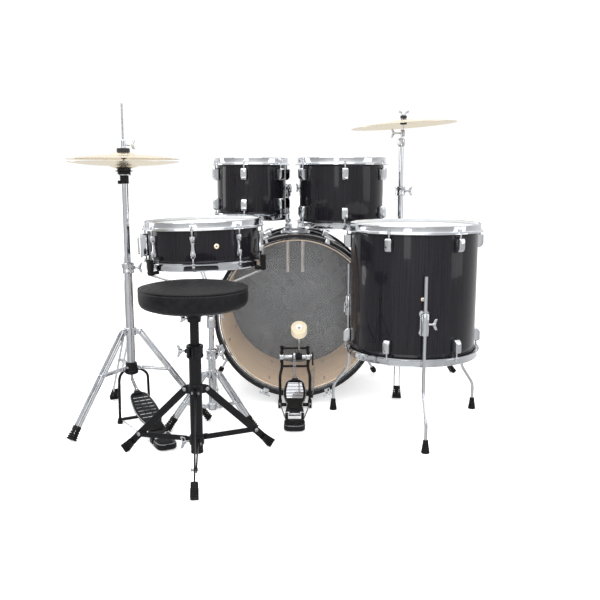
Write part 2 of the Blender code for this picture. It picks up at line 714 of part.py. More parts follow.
def hihat():
    place = at(*HIHAT_XY)
    hihat_base()
    tube = [turned([(0.0300, 0.8425), (0.0220, 0.826), (0.0150, 0.8255), (0.0150, 0.796), (0.0110, 0.7955),
                    (0.0110, 0.330), (0.0040, 0.330), (0.0040, 0.8425)], TUBE_SIDES, True)]
    node("hihat_upper_tube", "chrome", tube, place, (0, 0, 0.535))
    rim = 0.864
    down = at(0, 0, rim) @ turn(180, "X")
    lower = turned(cymbal_profile(HIHAT_R, 0.0135, 0.048, 0.006), CYMBAL_SIDES, True, down)
    node("hihat_bottom_cymbal", "bronze", [lower], place)
    up = at(0, 0, rim + HIHAT_GAP)
    upper = [turned(cymbal_profile(HIHAT_R, 0.0135, 0.048, 0.006), CYMBAL_SIDES, True, up),
             ring(0.0036, 0.0190, 0.8905, 0.900, 8), ring(0.0036, 0.0105, 0.899, 0.930, 8),
             ring(0.0036, 0.0085, 0.872, 0.892, 8),
             rod((0.009, 0, 0.918), (0.030, 0, 0.918), 0.0035, 6),
             block((0.005, 0.010, 0.026), (0.030, 0, 0.918))]
    node("hihat_top_cymbal", "bronze", upper, place, (0, 0, 0.915))
    node("hihat_pull_rod", "chrome", [cylinder(0.0030, 0.140, 1.047, TUBE_SIDES)], place, (0, 0, 0.150))
    toe = (2 * HIHAT_HINGE[0] - HIHAT_TOE, 0.110)
    footboard(HIHAT_HINGE, toe, toward_stand(), "hihat_footboard", place)


# ---------------------------------------------------------------- cymbal stand

def cymbal_stand():
    place = at(*CYMBAL_STAND_XY)
    base = [ring(0.0104, 0.0130, 0.090, 0.778, TUBE_SIDES)]
    base += tube_clamp(0.0130, 0.762, 0.0)
    base += tripod((-97.0, 23.0, 143.0), (0.032, 0.330), 0.277, (0.032, 0.140), 0.0130, 0.50)
    node("cymbal_stand_base", "chrome", base, place)
    z = CYMBAL_TILT_Z
    tube = [cylinder(0.0100, 0.560, z - 0.030, TUBE_SIDES), cylinder(0.014, z - 0.050, z - 0.020, TUBE_SIDES),
            block((0.005, 0.022, 0.040), (-0.0002, 0, z - 0.006)),
            rod((-0.001, 0, z), (-0.034, 0, z), 0.0045, 8), block((0.005, 0.012, 0.036), (-0.033, 0, z))]
    node("cymbal_stand_tube", "chrome", tube, place, (0, 0, 0.778))
    stem = 0.0068
    tilter = [rod((0.0027, 0, z), (0.0115, 0, z), 0.0130, 12), rod((stem, 0, z), (stem, 0, 1.067), 0.0032, 6),
              rod((stem, 0, 1.015), (stem, 0, 1.0285), 0.012, 10),
              rod((stem, 0, 1.0375), (stem, 0, 1.050), 0.0105, 10),
              block((0.040, 0.0070, 0.016), (stem, 0, 1.065))]
    node("cymbal_tilter", "chrome", tilter, place, (0, 0, z))
    lean = at(stem, 0, CYMBAL_BELL_Z) @ turn(CYMBAL_LEAN, "Y") @ at(0, 0, -0.018)
    cymbal = turned(cymbal_profile(CYMBAL_R, 0.0150, 0.055, 0.0075), CYMBAL_SIDES, True, lean)
    node("crash_cymbal", "bronze", [cymbal], place, (stem, 0, CYMBAL_BELL_Z))


# ---------------------------------------------------------------- throne

def leg_geometry():
    """Leg length and its unit direction (outward, down)."""
    out, drop = FOOT_R - LEG_PIVOT[0], LEG_PIVOT[1]
    length = math.hypot(out, drop)
    return length, Vector((out / length, -drop / length))


def along_leg(angle, distance):
    """The point on a leg's centre line at a distance from its pivot."""
    _, direction = leg_geometry()
    return polar(LEG_PIVOT[0] + direction.x * distance, angle, LEG_PIVOT[1] + direction.y * distance)


def throne_leg(number, angle, place):
    length, direction = leg_geometry()
    across = polar(1.0, angle + 90.0)
    depth = 0.027
    start = along_leg(angle, 0.0)
    sole = along_leg(angle, length + depth / 2 * direction.x / direction.y)
    along = (sole - start).normalized()
    pieces = [bar(start - along * 0.005, sole - along * 0.012, 0.022, 0.004, across),
              bar(sole - along * 0.040, sole, depth, 0.022, across)]
    node(f"throne_leg_{number}", "steel_black", pieces, place, start)


def throne_brace(number, angle, place):
    across = polar(1.0, angle + 90.0)
    side = across * 0.0044
    start = polar(COLLAR_PIVOT[0], angle, COLLAR_PIVOT[1]) + side
    end = along_leg(angle, BRACE_ALONG) + side
    along = (end - start).normalized()
    node(f"throne_brace_{number}", "steel_black",
         [bar(start - along * 0.008, end + along * 0.005, 0.016, 0.004, across)], place, start)


def collar_ears(angle, pivot, ring_r, laterals, height):
    return [block((pivot[0] - ring_r + 0.014, 0.004, height),
                  polar((pivot[0] + ring_r) / 2 + 0.004, angle, pivot[1], lateral), turn(angle))
            for lateral in laterals]


def throne_stand():
    place = at(*THRONE_XY)
    base = [ring(0.0133, 0.0175, 0.037, 0.350, 12), ring(0.0165, 0.0207, 0.212, 0.240, 12)]
    base += tube_clamp(0.0175, 0.334, 180.0, 0.036, 12)
    for angle in THRONE_ANGLES:
        base += collar_ears(angle, LEG_PIVOT, 0.018, (-0.0046, 0.0046), 0.024)
    node("throne_base_tube", "steel_black", base, place)
    collar = [ring(0.0179, 0.0212, COLLAR_PIVOT[1] - 0.013, COLLAR_PIVOT[1] + 0.013, 12)]
    for angle in THRONE_ANGLES:
        collar += collar_ears(angle, COLLAR_PIVOT, 0.0195, (0.0090,), 0.018)
    collar += [rod(polar(0.0195, 214.0, COLLAR_PIVOT[1]), polar(0.044, 214.0, COLLAR_PIVOT[1]), 0.0045, 8),
               block((0.005, 0.012, 0.034), polar(0.044, 214.0, COLLAR_PIVOT[1]), turn(214.0))]
    node("throne_lower_collar", "steel_black", collar, place, (0, 0, COLLAR_PIVOT[1]))
    for number, angle in enumerate(THRONE_ANGLES, 1):
        throne_leg(number, angle, place)
        throne_brace(number, angle, place)
    post = [turned([(0.0, 0.4535), (0.060, 0.4535), (0.045, 0.433), (0.0128, 0.432), (0.0128, 0.190),
                    (0.0, 0.190)], 12)]
    node("throne_post", "steel_black", post, place, (0, 0, 0.350))
    cushion = turned([(0.0, 0.527), (0.110, 0.5235), (0.1445, 0.518), (0.1515, 0.507), (0.1525, 0.488),
                      (0.149, 0.472), (0.126, 0.458), (0.0, 0.4540)], 24)
    node("throne_cushion", "vinyl", [cushion], place, (0, 0, 0.4540))


# ---------------------------------------------------------------- bass pedal

def bass_pedal():
    place = at(PEDAL_X, 0)
    ahead = turn(90)
    y, z = SHAFT
    frame = []
    for side in (-1, 1):
        posts = [(side * 0.046, y, 0.222), (side * 0.046, y, 0.150), (side * 0.053, y - 0.010, 0.126),
                 (side * 0.053, y - 0.012, 0.006)]
        frame.append(pipe(posts, 0.0052))
        frame.append(block((0.014, 0.020, 0.030), (side * 0.053, y - 0.012, 0.015)))
        frame.append(block((0.012, 0.022, 0.044), (side * 0.047, y, z)))
        heel = (side * 0.028, PEDAL_HINGE[0] - 0.010, 0.012)
        frame.append(rod((side * 0.052, y - 0.014, 0.012), heel, 0.003, 6))
    top, bow = 0.212, y + 0.018
    frame += [pipe([(-0.046, y, top), (-0.046, bow, top), (0.046, bow, top), (0.046, y, top)], 0.004),
              rod((-0.047, y - 0.002, 0.151), (0.047, y - 0.002, 0.151), 0.004, 8),
              block((0.106, 0.016, 0.010), (0, y - 0.012, 0.012)),
              block((0.044, 0.070, 0.008), (0, y + 0.030, 0.0135)),
              block((0.030, 0.009, 0.038), (0.006, BATTER_EDGE_Y - 0.0275, 0.029)),
              block((0.020, 0.024, 0.009), (0.006, BATTER_EDGE_Y - 0.0200, 0.0435)),
              rod((0.053, y, z + 0.004), (0.064, y, z + 0.004), 0.005, 8),
              block((0.006, 0.020, 0.052), (0.063, y, z - 0.012))]
    frame += heel_plate(ahead, PEDAL_HINGE, 0.082, 0.035)
    body = drilled(joined(frame), [rod((-0.0545, y, z), (0.0545, y, z), 0.0084, 12)])
    node("bass_pedal_frame", "steel_black", [body], place)
    footboard(PEDAL_HINGE, PEDAL_TOE, ahead, "bass_pedal_footboard", place)
    axis = Vector((0, y, z))
    lean = math.radians(BEATER_ANGLE)
    up = Vector((0, -math.sin(lean), math.cos(lean)))
    shift = Vector((BEATER_OFFSET, 0, 0))
    centre = axis + shift + up * BEATER_REACH
    beater = [rod(axis - Vector((0.050, 0, 0)), axis + Vector((0.050, 0, 0)), 0.0080, 12),
              rod(axis - Vector((0.010, 0, 0)), axis + Vector((0.005, 0, 0)), 0.019, 12),
              rod(axis + Vector((0.004, 0, 0)), axis + Vector((0.026, 0, 0)), 0.0125, 12),
              rod(axis + shift, centre + up * 0.024, 0.0032, 8),
              rod(centre - up * 0.0165, centre + up * 0.0165, 0.027, 16)]
    node("bass_pedal_beater", "felt", beater, place, axis)


def build():
    bass_drum()
    toms()
    floor_tom()
    snare()
    snare_stand()
    hihat()
    cymbal_stand()
    throne_stand()
    bass_pedal()


clear_scene()
kit = new_collection(KIT)
workshop = new_collection("workshop")
materials = make_materials()
build()
bpy.context.scene.collection.children.unlink(workshop)
bpy.data.collections.remove(workshop)
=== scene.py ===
"""Acoustic drum kit: fine surfaces, materials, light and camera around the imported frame.
"""
import json
import math

import bmesh
import bpy
from mathutils import Matrix, Vector

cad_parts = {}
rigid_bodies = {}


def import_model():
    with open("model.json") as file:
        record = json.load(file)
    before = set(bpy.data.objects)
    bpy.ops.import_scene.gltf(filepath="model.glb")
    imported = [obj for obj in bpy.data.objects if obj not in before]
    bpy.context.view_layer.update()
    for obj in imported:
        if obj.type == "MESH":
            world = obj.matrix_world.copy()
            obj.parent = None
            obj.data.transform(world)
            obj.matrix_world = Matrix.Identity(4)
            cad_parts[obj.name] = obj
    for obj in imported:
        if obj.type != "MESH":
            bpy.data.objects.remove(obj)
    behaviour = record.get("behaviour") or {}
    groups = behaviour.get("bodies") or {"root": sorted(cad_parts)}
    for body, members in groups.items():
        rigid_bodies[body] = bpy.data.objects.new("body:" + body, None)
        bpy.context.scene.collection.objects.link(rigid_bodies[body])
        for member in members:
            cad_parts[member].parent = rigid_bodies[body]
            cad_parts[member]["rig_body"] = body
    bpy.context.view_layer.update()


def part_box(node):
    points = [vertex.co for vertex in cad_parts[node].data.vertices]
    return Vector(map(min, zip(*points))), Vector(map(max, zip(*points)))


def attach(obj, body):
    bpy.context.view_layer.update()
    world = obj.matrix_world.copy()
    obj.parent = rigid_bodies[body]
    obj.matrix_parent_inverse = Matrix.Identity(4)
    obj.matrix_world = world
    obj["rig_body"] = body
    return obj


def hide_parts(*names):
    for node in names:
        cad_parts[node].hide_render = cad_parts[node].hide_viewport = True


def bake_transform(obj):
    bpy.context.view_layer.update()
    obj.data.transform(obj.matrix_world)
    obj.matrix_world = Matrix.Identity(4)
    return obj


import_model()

ROUND, FINE, SMALL = 128, 48, 20
UP = Vector((0.0, 0.0, 1.0))

# Stands an outline drawn in X and Y upright, its thickness along X
SIDEWAYS = Matrix(((0, 0, 1, 0), (1, 0, 0, 0), (0, 1, 0, 0), (0, 0, 0, 1)))

# Drum radii and the thickness of their shells
WALL = 0.0065
BASS_R, SMALL_R, MEDIUM_R, FLOOR_R, SNARE_R = 0.2794, 0.127, 0.1524, 0.2032, 0.1778
BASS_Z, BATTER_EDGE_Y, BASS_DEPTH = 0.32, 0.183, 0.4064
POST_SPREAD, TILT_Z = 0.029, 0.775


# ---------------------------------------------------------------- material nodes

def new_material(name, colour, roughness, metallic=0.0, **inputs):
    """A Principled material whose constant values sit on the shader's own sockets."""
    material = bpy.data.materials.new(name)
    material.use_nodes = True
    shader = material.node_tree.nodes["Principled BSDF"]
    shader.inputs["Base Color"].default_value = (*colour, 1.0)
    shader.inputs["Roughness"].default_value = roughness
    shader.inputs["Metallic"].default_value = metallic
    for key, value in inputs.items():
        shader.inputs[key.replace("_", " ")].default_value = value
    return material, shader


def add_node(material, kind, **settings):
    made = material.node_tree.nodes.new(kind)
    for key, value in settings.items():
        if key in made.inputs:
            made.inputs[key].default_value = value
        else:
            setattr(made, key, value)
    return made


def link(material, output, target):
    material.node_tree.links.new(output, target)


def object_space(material, scale=(1.0, 1.0, 1.0)):
    """Object coordinates, stretched by a scale, for a pattern of real size."""
    coordinates = add_node(material, "ShaderNodeTexCoord")
    mapping = add_node(material, "ShaderNodeMapping", Scale=scale)
    link(material, coordinates.outputs["Object"], mapping.inputs["Vector"])
    return mapping.outputs["Vector"]


def noise(material, vector, scale, detail=3.0, roughness=0.5):
    made = add_node(material, "ShaderNodeTexNoise", Scale=scale, Detail=detail, Roughness=roughness)
    link(material, vector, made.inputs["Vector"])
    return made.outputs["Fac"]


def ramp(material, factor, low, high, start=0.3, stop=0.7):
    """A colour ramp between two colours, driven by a pattern."""
    made = add_node(material, "ShaderNodeValToRGB")
    made.color_ramp.elements[0].position = start
    made.color_ramp.elements[1].position = stop
    made.color_ramp.elements[0].color = (*low, 1.0)
    made.color_ramp.elements[1].color = (*high, 1.0)
    link(material, factor, made.inputs["Fac"])
    return made.outputs["Color"]


def spread(material, factor, low, high):
    """A pattern's 0.3 to 0.7 mapped onto a range of values."""
    made = add_node(material, "ShaderNodeMapRange")
    for key, value in (("From Min", 0.3), ("From Max", 0.7), ("To Min", low), ("To Max", high)):
        made.inputs[key].default_value = value
    link(material, factor, made.inputs["Value"])
    return made.outputs["Result"]


def bump(material, shader, height, distance, strength=0.5):
    made = add_node(material, "ShaderNodeBump", Strength=strength, Distance=distance)
    link(material, height, made.inputs["Height"])
    link(material, made.outputs["Normal"], shader.inputs["Normal"])


# ---------------------------------------------------------------- materials

def patterned(name, colour, roughness, metallic=0.0, *, scale=1.0, detail=3.0, grain=0.5,
              stretch=(1.0, 1.0, 1.0), tone=None, gloss=None, relief=None, **inputs):
    """A material with one noise pattern that varies its tone, gloss and relief."""
    made, shader = new_material(name, colour, roughness, metallic, **inputs)
    pattern = noise(made, object_space(made, stretch), scale, detail, grain)
    if relief:
        bump(made, shader, pattern, *relief)
    if tone:
        link(made, ramp(made, pattern, *tone), shader.inputs["Base Color"])
    if gloss:
        link(made, spread(made, pattern, *gloss), shader.inputs["Roughness"])
    return made


def film_white_material():
    """Coated drum head: milky film with a fine sprayed grain."""
    made, shader = new_material("film_white", (0.8, 0.8, 0.78), 0.46, Specular_IOR_Level=0.4,
                                Coat_Weight=0.15, Coat_Roughness=0.25)
    grain = noise(made, object_space(made), 900.0, 2.0)
    cloud = noise(made, object_space(made), 9.0, 3.0)
    bump(made, shader, grain, 0.00015, 0.35)
    link(made, ramp(made, cloud, (0.76, 0.76, 0.74), (0.84, 0.84, 0.83)), shader.inputs["Base Color"])
    return made


def film_clear_material():
    """Clear polyester film: what is behind it shows, with a gloss that grows at grazing angles."""
    made, shader = new_material("film_clear", (0.62, 0.65, 0.68), 0.05, Specular_IOR_Level=0.6)
    haze = noise(made, object_space(made), 14.0, 3.0)
    link(made, spread(made, haze, 0.03, 0.07), shader.inputs["Roughness"])
    link(made, spread(made, haze, 0.045, 0.06), shader.inputs["Alpha"])
    return made


def bronze_material():
    """Cymbal alloy with fine lathe grooves around its centre that vary its tone, gloss and relief."""
    made, shader = new_material("bronze", (0.78, 0.62, 0.36), 0.26, 1.0)
    rings = add_node(made, "ShaderNodeTexNoise", Scale=1.0, Detail=4.0, Roughness=0.7)
    coordinates = add_node(made, "ShaderNodeTexCoord")
    radius = add_node(made, "ShaderNodeVectorMath", operation="LENGTH")
    flat = add_node(made, "ShaderNodeVectorMath", operation="MULTIPLY")
    flat.inputs[1].default_value = (1.0, 1.0, 0.0)
    spaced = add_node(made, "ShaderNodeCombineXYZ")
    scaled = add_node(made, "ShaderNodeMath", operation="MULTIPLY")
    scaled.inputs[1].default_value = 900.0
    link(made, coordinates.outputs["Object"], flat.inputs[0])
    link(made, flat.outputs["Vector"], radius.inputs[0])
    link(made, radius.outputs["Value"], scaled.inputs[0])
    link(made, scaled.outputs["Value"], spaced.inputs["X"])
    link(made, spaced.outputs["Vector"], rings.inputs["Vector"])
    groove = rings.outputs["Fac"]
    bump(made, shader, groove, 0.0003, 0.5)
    link(made, ramp(made, groove, (0.8, 0.67, 0.46), (0.95, 0.86, 0.68)), shader.inputs["Base Color"])
    link(made, spread(made, groove, 0.2, 0.36), shader.inputs["Roughness"])
    return made


def vinyl_material():
    """Black upholstery vinyl with a pebbled grain."""
    made, shader = new_material("vinyl", (0.006, 0.006, 0.007), 0.4, Specular_IOR_Level=0.16)
    pebble = add_node(made, "ShaderNodeTexVoronoi", Scale=620.0)
    link(made, object_space(made), pebble.inputs["Vector"])
    grain = noise(made, object_space(made), 60.0, 3.0)
    bump(made, shader, pebble.outputs["Distance"], 0.0004, 0.4)
    link(made, ramp(made, grain, (0.004, 0.004, 0.005), (0.009, 0.009, 0.01)),
         shader.inputs["Base Color"])
    link(made, spread(made, grain, 0.4, 0.54), shader.inputs["Roughness"])
    return made


def pressed_felt(name, dark, pale):
    """Pressed wool: soft fibres with a little sheen."""
    return patterned(name, pale, 0.9, scale=420.0, detail=6.0, grain=0.75, tone=(dark, pale),
                     relief=(0.0006, 0.6), Sheen_Weight=0.12)


MATERIALS = {
    # High-gloss black wrap with faint streaks along the shell's height
    "wrap": patterned("wrap", (0.012, 0.011, 0.014), 0.2, stretch=(260.0, 260.0, 5.0), detail=4.0,
                      grain=0.65, tone=((0.005, 0.005, 0.006), (0.012, 0.011, 0.015)),
                      Coat_Weight=0.4, Coat_Roughness=0.03, Specular_IOR_Level=0.12),
    # Clear-finished ply with the grain round the shell
    "birch": patterned("birch", (0.62, 0.44, 0.28), 0.38, stretch=(7.0, 130.0, 7.0), detail=6.0,
                       grain=0.6, tone=((0.7, 0.52, 0.35), (0.88, 0.72, 0.53)), gloss=(0.32, 0.48)),
    "lacquer": patterned("lacquer", (0.008, 0.007, 0.007), 0.24, stretch=(60.0, 500.0, 60.0),
                         relief=(0.0002, 0.15), gloss=(0.18, 0.32), Coat_Weight=0.3,
                         Coat_Roughness=0.08, Specular_IOR_Level=0.2),
    # Plated steel with faint handling marks, and the zinc-plated steel of screws and springs
    "chrome": patterned("chrome", (0.78, 0.8, 0.83), 0.07, 1.0, scale=38.0, detail=5.0, grain=0.7,
                        tone=((0.73, 0.75, 0.78), (0.82, 0.84, 0.87)), gloss=(0.04, 0.13)),
    "steel": patterned("steel", (0.5, 0.51, 0.53), 0.3, 1.0, scale=220.0,
                       tone=((0.4, 0.41, 0.43), (0.6, 0.61, 0.63)), gloss=(0.22, 0.42)),
    "film_white": film_white_material(),
    "film_clear": film_clear_material(),
    "film_grey": patterned("film_grey", (0.1, 0.105, 0.115), 0.26, scale=7.0, gloss=(0.2, 0.32),
                           tone=((0.082, 0.086, 0.094), (0.098, 0.102, 0.11)), Coat_Weight=0.3,
                           Coat_Roughness=0.12),
    "bronze": bronze_material(),
    # Powder coat with its fine orange peel
    "powder": patterned("powder", (0.006, 0.006, 0.007), 0.36, scale=700.0, detail=2.0,
                        relief=(0.0002, 0.3), gloss=(0.3, 0.46), Coat_Weight=0.1,
                        Coat_Roughness=0.3, Specular_IOR_Level=0.15),
    "rubber": patterned("rubber", (0.006, 0.006, 0.006), 0.62, scale=160.0, detail=4.0,
                        tone=((0.003, 0.003, 0.003), (0.009, 0.009, 0.009)), relief=(0.0003, 0.3),
                        Specular_IOR_Level=0.16),
    "vinyl": vinyl_material(),
    "felt_black": pressed_felt("felt_black", (0.01, 0.01, 0.01), (0.035, 0.035, 0.037)),
    "felt_cream": pressed_felt("felt_cream", (0.5, 0.42, 0.28), (0.65, 0.57, 0.42)),
    "badge": patterned("badge", (0.8, 0.7, 0.5), 0.35, 0.3, scale=300.0, detail=2.0,
                       tone=((0.74, 0.63, 0.43), (0.86, 0.77, 0.58))),
}


# ---------------------------------------------------------------- places

def at(x, y, z=0.0):
    return Matrix.Translation((x, y, z))


def turn(degrees, axis="Z"):
    return Matrix.Rotation(math.radians(degrees), 4, axis)


def polar(radius, degrees, z=0.0, lateral=0.0):
    """A point at a radius and bearing, moved sideways across that bearing."""
    angle = math.radians(degrees)
    across = Vector((-math.sin(angle), math.cos(angle), 0.0))
    return Vector((radius * math.cos(angle), radius * math.sin(angle), z)) + lateral * across


def aim(start, end):
    """A frame at start whose Z axis runs to end."""
    start, end = Vector(start), Vector(end)
    return Matrix.Translation(start) @ (end - start).to_track_quat("Z", "Y").to_matrix().to_4x4()


def basis(x, y, z):
    """A frame at the origin from its three axes."""
    return Matrix((x, y, z)).transposed().to_4x4()


def on_wall(radius, angle, z):
    """A frame on a drum's wall: X round it, Y up, Z outward."""
    return at(*polar(radius, angle, z)) @ basis(polar(1.0, angle + 90.0), UP, polar(1.0, angle))


def slab(centre, along, side):
    """A frame whose X axis runs along and whose Y axis is the side direction."""
    along, side = Vector(along).normalized(), Vector(side).normalized()
    return at(*centre) @ basis(along, side, along.cross(side))


def middle(name):
    """The middle of a CAD node's box in plan."""
    low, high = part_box(name)
    return (low.x + high.x) / 2, (low.y + high.y) / 2


def rounded(points, radius, steps=5):
    """A route whose corners are replaced by arcs that reach at most the radius along each side."""
    points = [Vector(p) for p in points]
    route = [points[0]]
    for before, corner, after in zip(points, points[1:], points[2:]):
        reach = min(radius, (before - corner).length * 0.48, (after - corner).length * 0.48)
        first = corner + (before - corner).normalized() * reach
        last = corner + (after - corner).normalized() * reach
        for step in range(steps + 1):
            t = step / steps
            route.append(first.lerp(corner, t).lerp(corner.lerp(last, t), t))
    return route + [points[-1]]


# ---------------------------------------------------------------- solids

class Piece:
    """Solids that ride on one body and stand for its CAD nodes, one mesh for each material."""

    def __init__(self, body, *nodes, place=Matrix()):
        self.body, self.nodes, self.place, self.works = body, nodes, place, {}

    def work(self, material):
        if material not in self.works:
            self.works[material] = bmesh.new()
        return self.works[material]

    def take(self, material, part, place=Matrix()):
        """Moves a small bmesh into the material's mesh."""
        bmesh.ops.transform(part, matrix=self.place @ place, verts=part.verts)
        mesh = bpy.data.meshes.new("part")
        part.to_mesh(mesh)
        part.free()
        self.work(material).from_mesh(mesh)
        bpy.data.meshes.remove(mesh)

    def lathe(self, material, profile, place=Matrix(), sides=FINE, closed=False):
        """A solid of revolution about Z; the (radius, z) profile runs down its outer side."""
        part = bmesh.new()
        rings = []
        for radius, z in profile:
            if radius < 1e-7:
                rings.append([part.verts.new((0.0, 0.0, z))] * sides)
            else:
                rings.append([part.verts.new(polar(radius, 360.0 * k / sides, z)) for k in range(sides)])
        pairs = list(zip(rings, rings[1:])) + ([(rings[-1], rings[0])] if closed else [])
        for upper, lower in pairs:
            for k in range(sides):
                corners = [upper[k], lower[k], lower[(k + 1) % sides], upper[(k + 1) % sides]]
                face = list(dict.fromkeys(corners))
                if len(face) > 2:
                    part.faces.new(face)
        self.take(material, part, place)

    def ring(self, material, profile, place=Matrix(), sides=FINE):
        """A hollow solid of revolution, from a profile that closes on itself."""
        self.lathe(material, profile, place, sides, closed=True)

    def rod(self, material, start, end, radius, sides=SMALL, edge=None):
        """A round bar with softened ends."""
        length = (Vector(end) - Vector(start)).length
        soft = min(radius * 0.25, 0.0012, length * 0.2) if edge is None else edge
        profile = [(0.0, length), (radius - soft, length), (radius - soft * 0.3, length - soft * 0.3),
                   (radius, length - soft), (radius, soft), (radius - soft * 0.3, soft * 0.3),
                   (radius - soft, 0.0), (0.0, 0.0)]
        self.lathe(material, profile, aim(start, end), sides)

    def block(self, material, size, place=Matrix(), edge=0.0012, segments=2):
        """A box with rounded edges."""
        part = bmesh.new()
        bmesh.ops.create_cube(part, size=1.0, matrix=Matrix.Diagonal((*size, 1.0)))
        edge = min(edge, min(size) * 0.45)
        bmesh.ops.bevel(part, geom=part.edges[:], offset=edge, segments=segments, profile=0.5,
                        affect="EDGES", clamp_overlap=True)
        self.take(material, part, place)

    def bar(self, material, start, end, width, thickness, side, edge=0.0012):
        """A flat bar from start to end whose thickness lies along the side direction."""
        start, end = Vector(start), Vector(end)
        place = slab((start + end) / 2, end - start, side)
        self.block(material, ((end - start).length, thickness, width), place, edge)

    def prism(self, material, outline, thickness, place=Matrix(), edge=0.0008, segments=2):
        """An outline in the XY plane, thickened about it, with rounded rims."""
        part = bmesh.new()
        low = [part.verts.new((x, y, -thickness / 2)) for x, y in outline]
        high = [part.verts.new((x, y, thickness / 2)) for x, y in outline]
        count = len(outline)
        part.faces.new(list(reversed(low)))
        part.faces.new(high)
        for k in range(count):
            part.faces.new([low[k], low[(k + 1) % count], high[(k + 1) % count], high[k]])
        bmesh.ops.recalc_face_normals(part, faces=part.faces)
        rims = [e for e in part.edges if abs(e.verts[0].co.z - e.verts[1].co.z) < 1e-9]
        bmesh.ops.bevel(part, geom=rims, offset=min(edge, thickness * 0.45), segments=segments,
                        profile=0.5, affect="EDGES", clamp_overlap=True)
        self.take(material, part, place)

    def tube(self, material, route, radius, sides=SMALL, closed=False):
        """A round bar swept along a route, with a steady frame and closed ends."""
        route = [Vector(p) for p in route]
        count = len(route)
        part = bmesh.new()
        rings, normal = [], None
        for k, point in enumerate(route):
            before = route[k - 1] if k or closed else point
            after = route[(k + 1) % count] if k < count - 1 or closed else point
            tangent = (after - before).normalized()
            if normal is None:
                normal = tangent.orthogonal() if abs(tangent.z) > 0.9 else tangent.cross(UP)
            normal = (normal - tangent * normal.dot(tangent)).normalized()
            other = tangent.cross(normal)
            ring = []
            for step in range(sides):
                angle = 2 * math.pi * step / sides
                offset = normal * math.cos(angle) + other * math.sin(angle)
                ring.append(part.verts.new(point + radius * offset))
            rings.append(ring)
        pairs = list(zip(rings, rings[1:])) + ([(rings[-1], rings[0])] if closed else [])
        for first, second in pairs:
            for step in range(sides):
                after = (step + 1) % sides
                part.faces.new([first[step], first[after], second[after], second[step]])
        if not closed:
            part.faces.new(list(reversed(rings[0])))
            part.faces.new(rings[-1])
        self.take(material, part)

    def ball(self, material, centre, radius, sides=SMALL):
        arc = [math.pi / 2 - math.pi * k / (sides // 2) for k in range(sides // 2 + 1)]
        profile = [(radius * max(0.0, math.cos(a)), radius * math.sin(a)) for a in arc]
        profile[0], profile[-1] = (0.0, radius), (0.0, -radius)
        self.lathe(material, profile, at(*centre), sides)

    def finish(self, name):
        """Makes the objects, one for each material, gives them their body and slot, and hides the CAD
        nodes they stand for.
        """
        made = []
        for material, work in self.works.items():
            bmesh.ops.recalc_face_normals(work, faces=work.faces)
            mesh = bpy.data.meshes.new(f"{name}_{material}")
            work.to_mesh(mesh)
            work.free()
            mesh.materials.append(MATERIALS[material])
            mesh.shade_smooth()
            mesh.set_sharp_from_angle(angle=math.radians(32))
            obj = bpy.data.objects.new(f"{name}_{material}", mesh)
            bpy.context.scene.collection.objects.link(obj)
            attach(obj, self.body)
            made.append(obj)
        if self.nodes:
            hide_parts(*self.nodes)
        return made


# ---------------------------------------------------------------- repeated fittings

def arc_points(centre_x, centre_y, radius, start, stop, steps):
    """Points of an arc in the plane, with both ends."""
    points = []
    for step in range(steps + 1):
        angle = math.radians(start + (stop - start) * step / steps)
        points.append((centre_x + radius * math.cos(angle), centre_y + radius * math.sin(angle)))
    return points


def ratchet(radius, depth, count):
    """A toothed disc's outline."""
    teeth = [(radius - depth * (k % 2), math.radians(k * (360.0 / count))) for k in range(count)]
    return [(r * math.cos(a), r * math.sin(a)) for r, a in teeth]


def rounded_rectangle(length, width, radius):
    """A rectangle about the origin with arcs for corners."""
    x, y = length / 2 - radius, width / 2 - radius
    corners = ((x, y, 0), (-x, y, 90), (-x, -y, 180), (x, -y, 270))
    return [p for cx, cy, a in corners for p in arc_points(cx, cy, radius, a, a + 90, 4)]


def screw_head(piece, material, place, radius=0.004, height=0.0025):
    """A domed screw head facing along Z of the place; its slot is a black rubber bar across the top,
    painted shade for the recess.
    """
    dome = [(0.0, height), (radius * 0.55, height * 0.92), (radius * 0.85, height * 0.62),
            (radius, 0.0), (0.0, 0.0)]
    piece.lathe(material, dome, place, 16)
    # Painted shade: a black bar stands on the dome in place of the slot's recess
    piece.block("rubber", (radius * 1.3, radius * 0.22, height * 0.3),
                place @ at(0, 0, height * 0.92), 0.0001)


def wing_bolt(piece, start, end, across, span):
    """A threaded shank with a T-shaped wing at its end; the wing's span runs across."""
    start, end, across = Vector(start), Vector(end), Vector(across).normalized()
    along = (end - start).normalized()
    piece.rod("chrome", start, end, 0.0032, 14)
    piece.lathe("chrome", [(0.0, 0.01), (0.0048, 0.009), (0.0062, 0.004), (0.0062, 0.0), (0.0, 0.0)],
                aim(end - along * 0.01, end), 18)
    half = span / 2
    outline = [(-0.004, 0.0), (-half * 0.55, 0.0015), (-half, 0.006), (-half, 0.0135),
               (-half * 0.55, 0.0105), (0.0, 0.008), (half * 0.55, 0.0105), (half, 0.0135),
               (half, 0.006), (half * 0.55, 0.0015), (0.004, 0.0)]
    axes = basis(across, along, across.cross(along))
    piece.prism("chrome", outline, 0.0046, at(*(end - along * 0.008)) @ axes, 0.0016, 3)


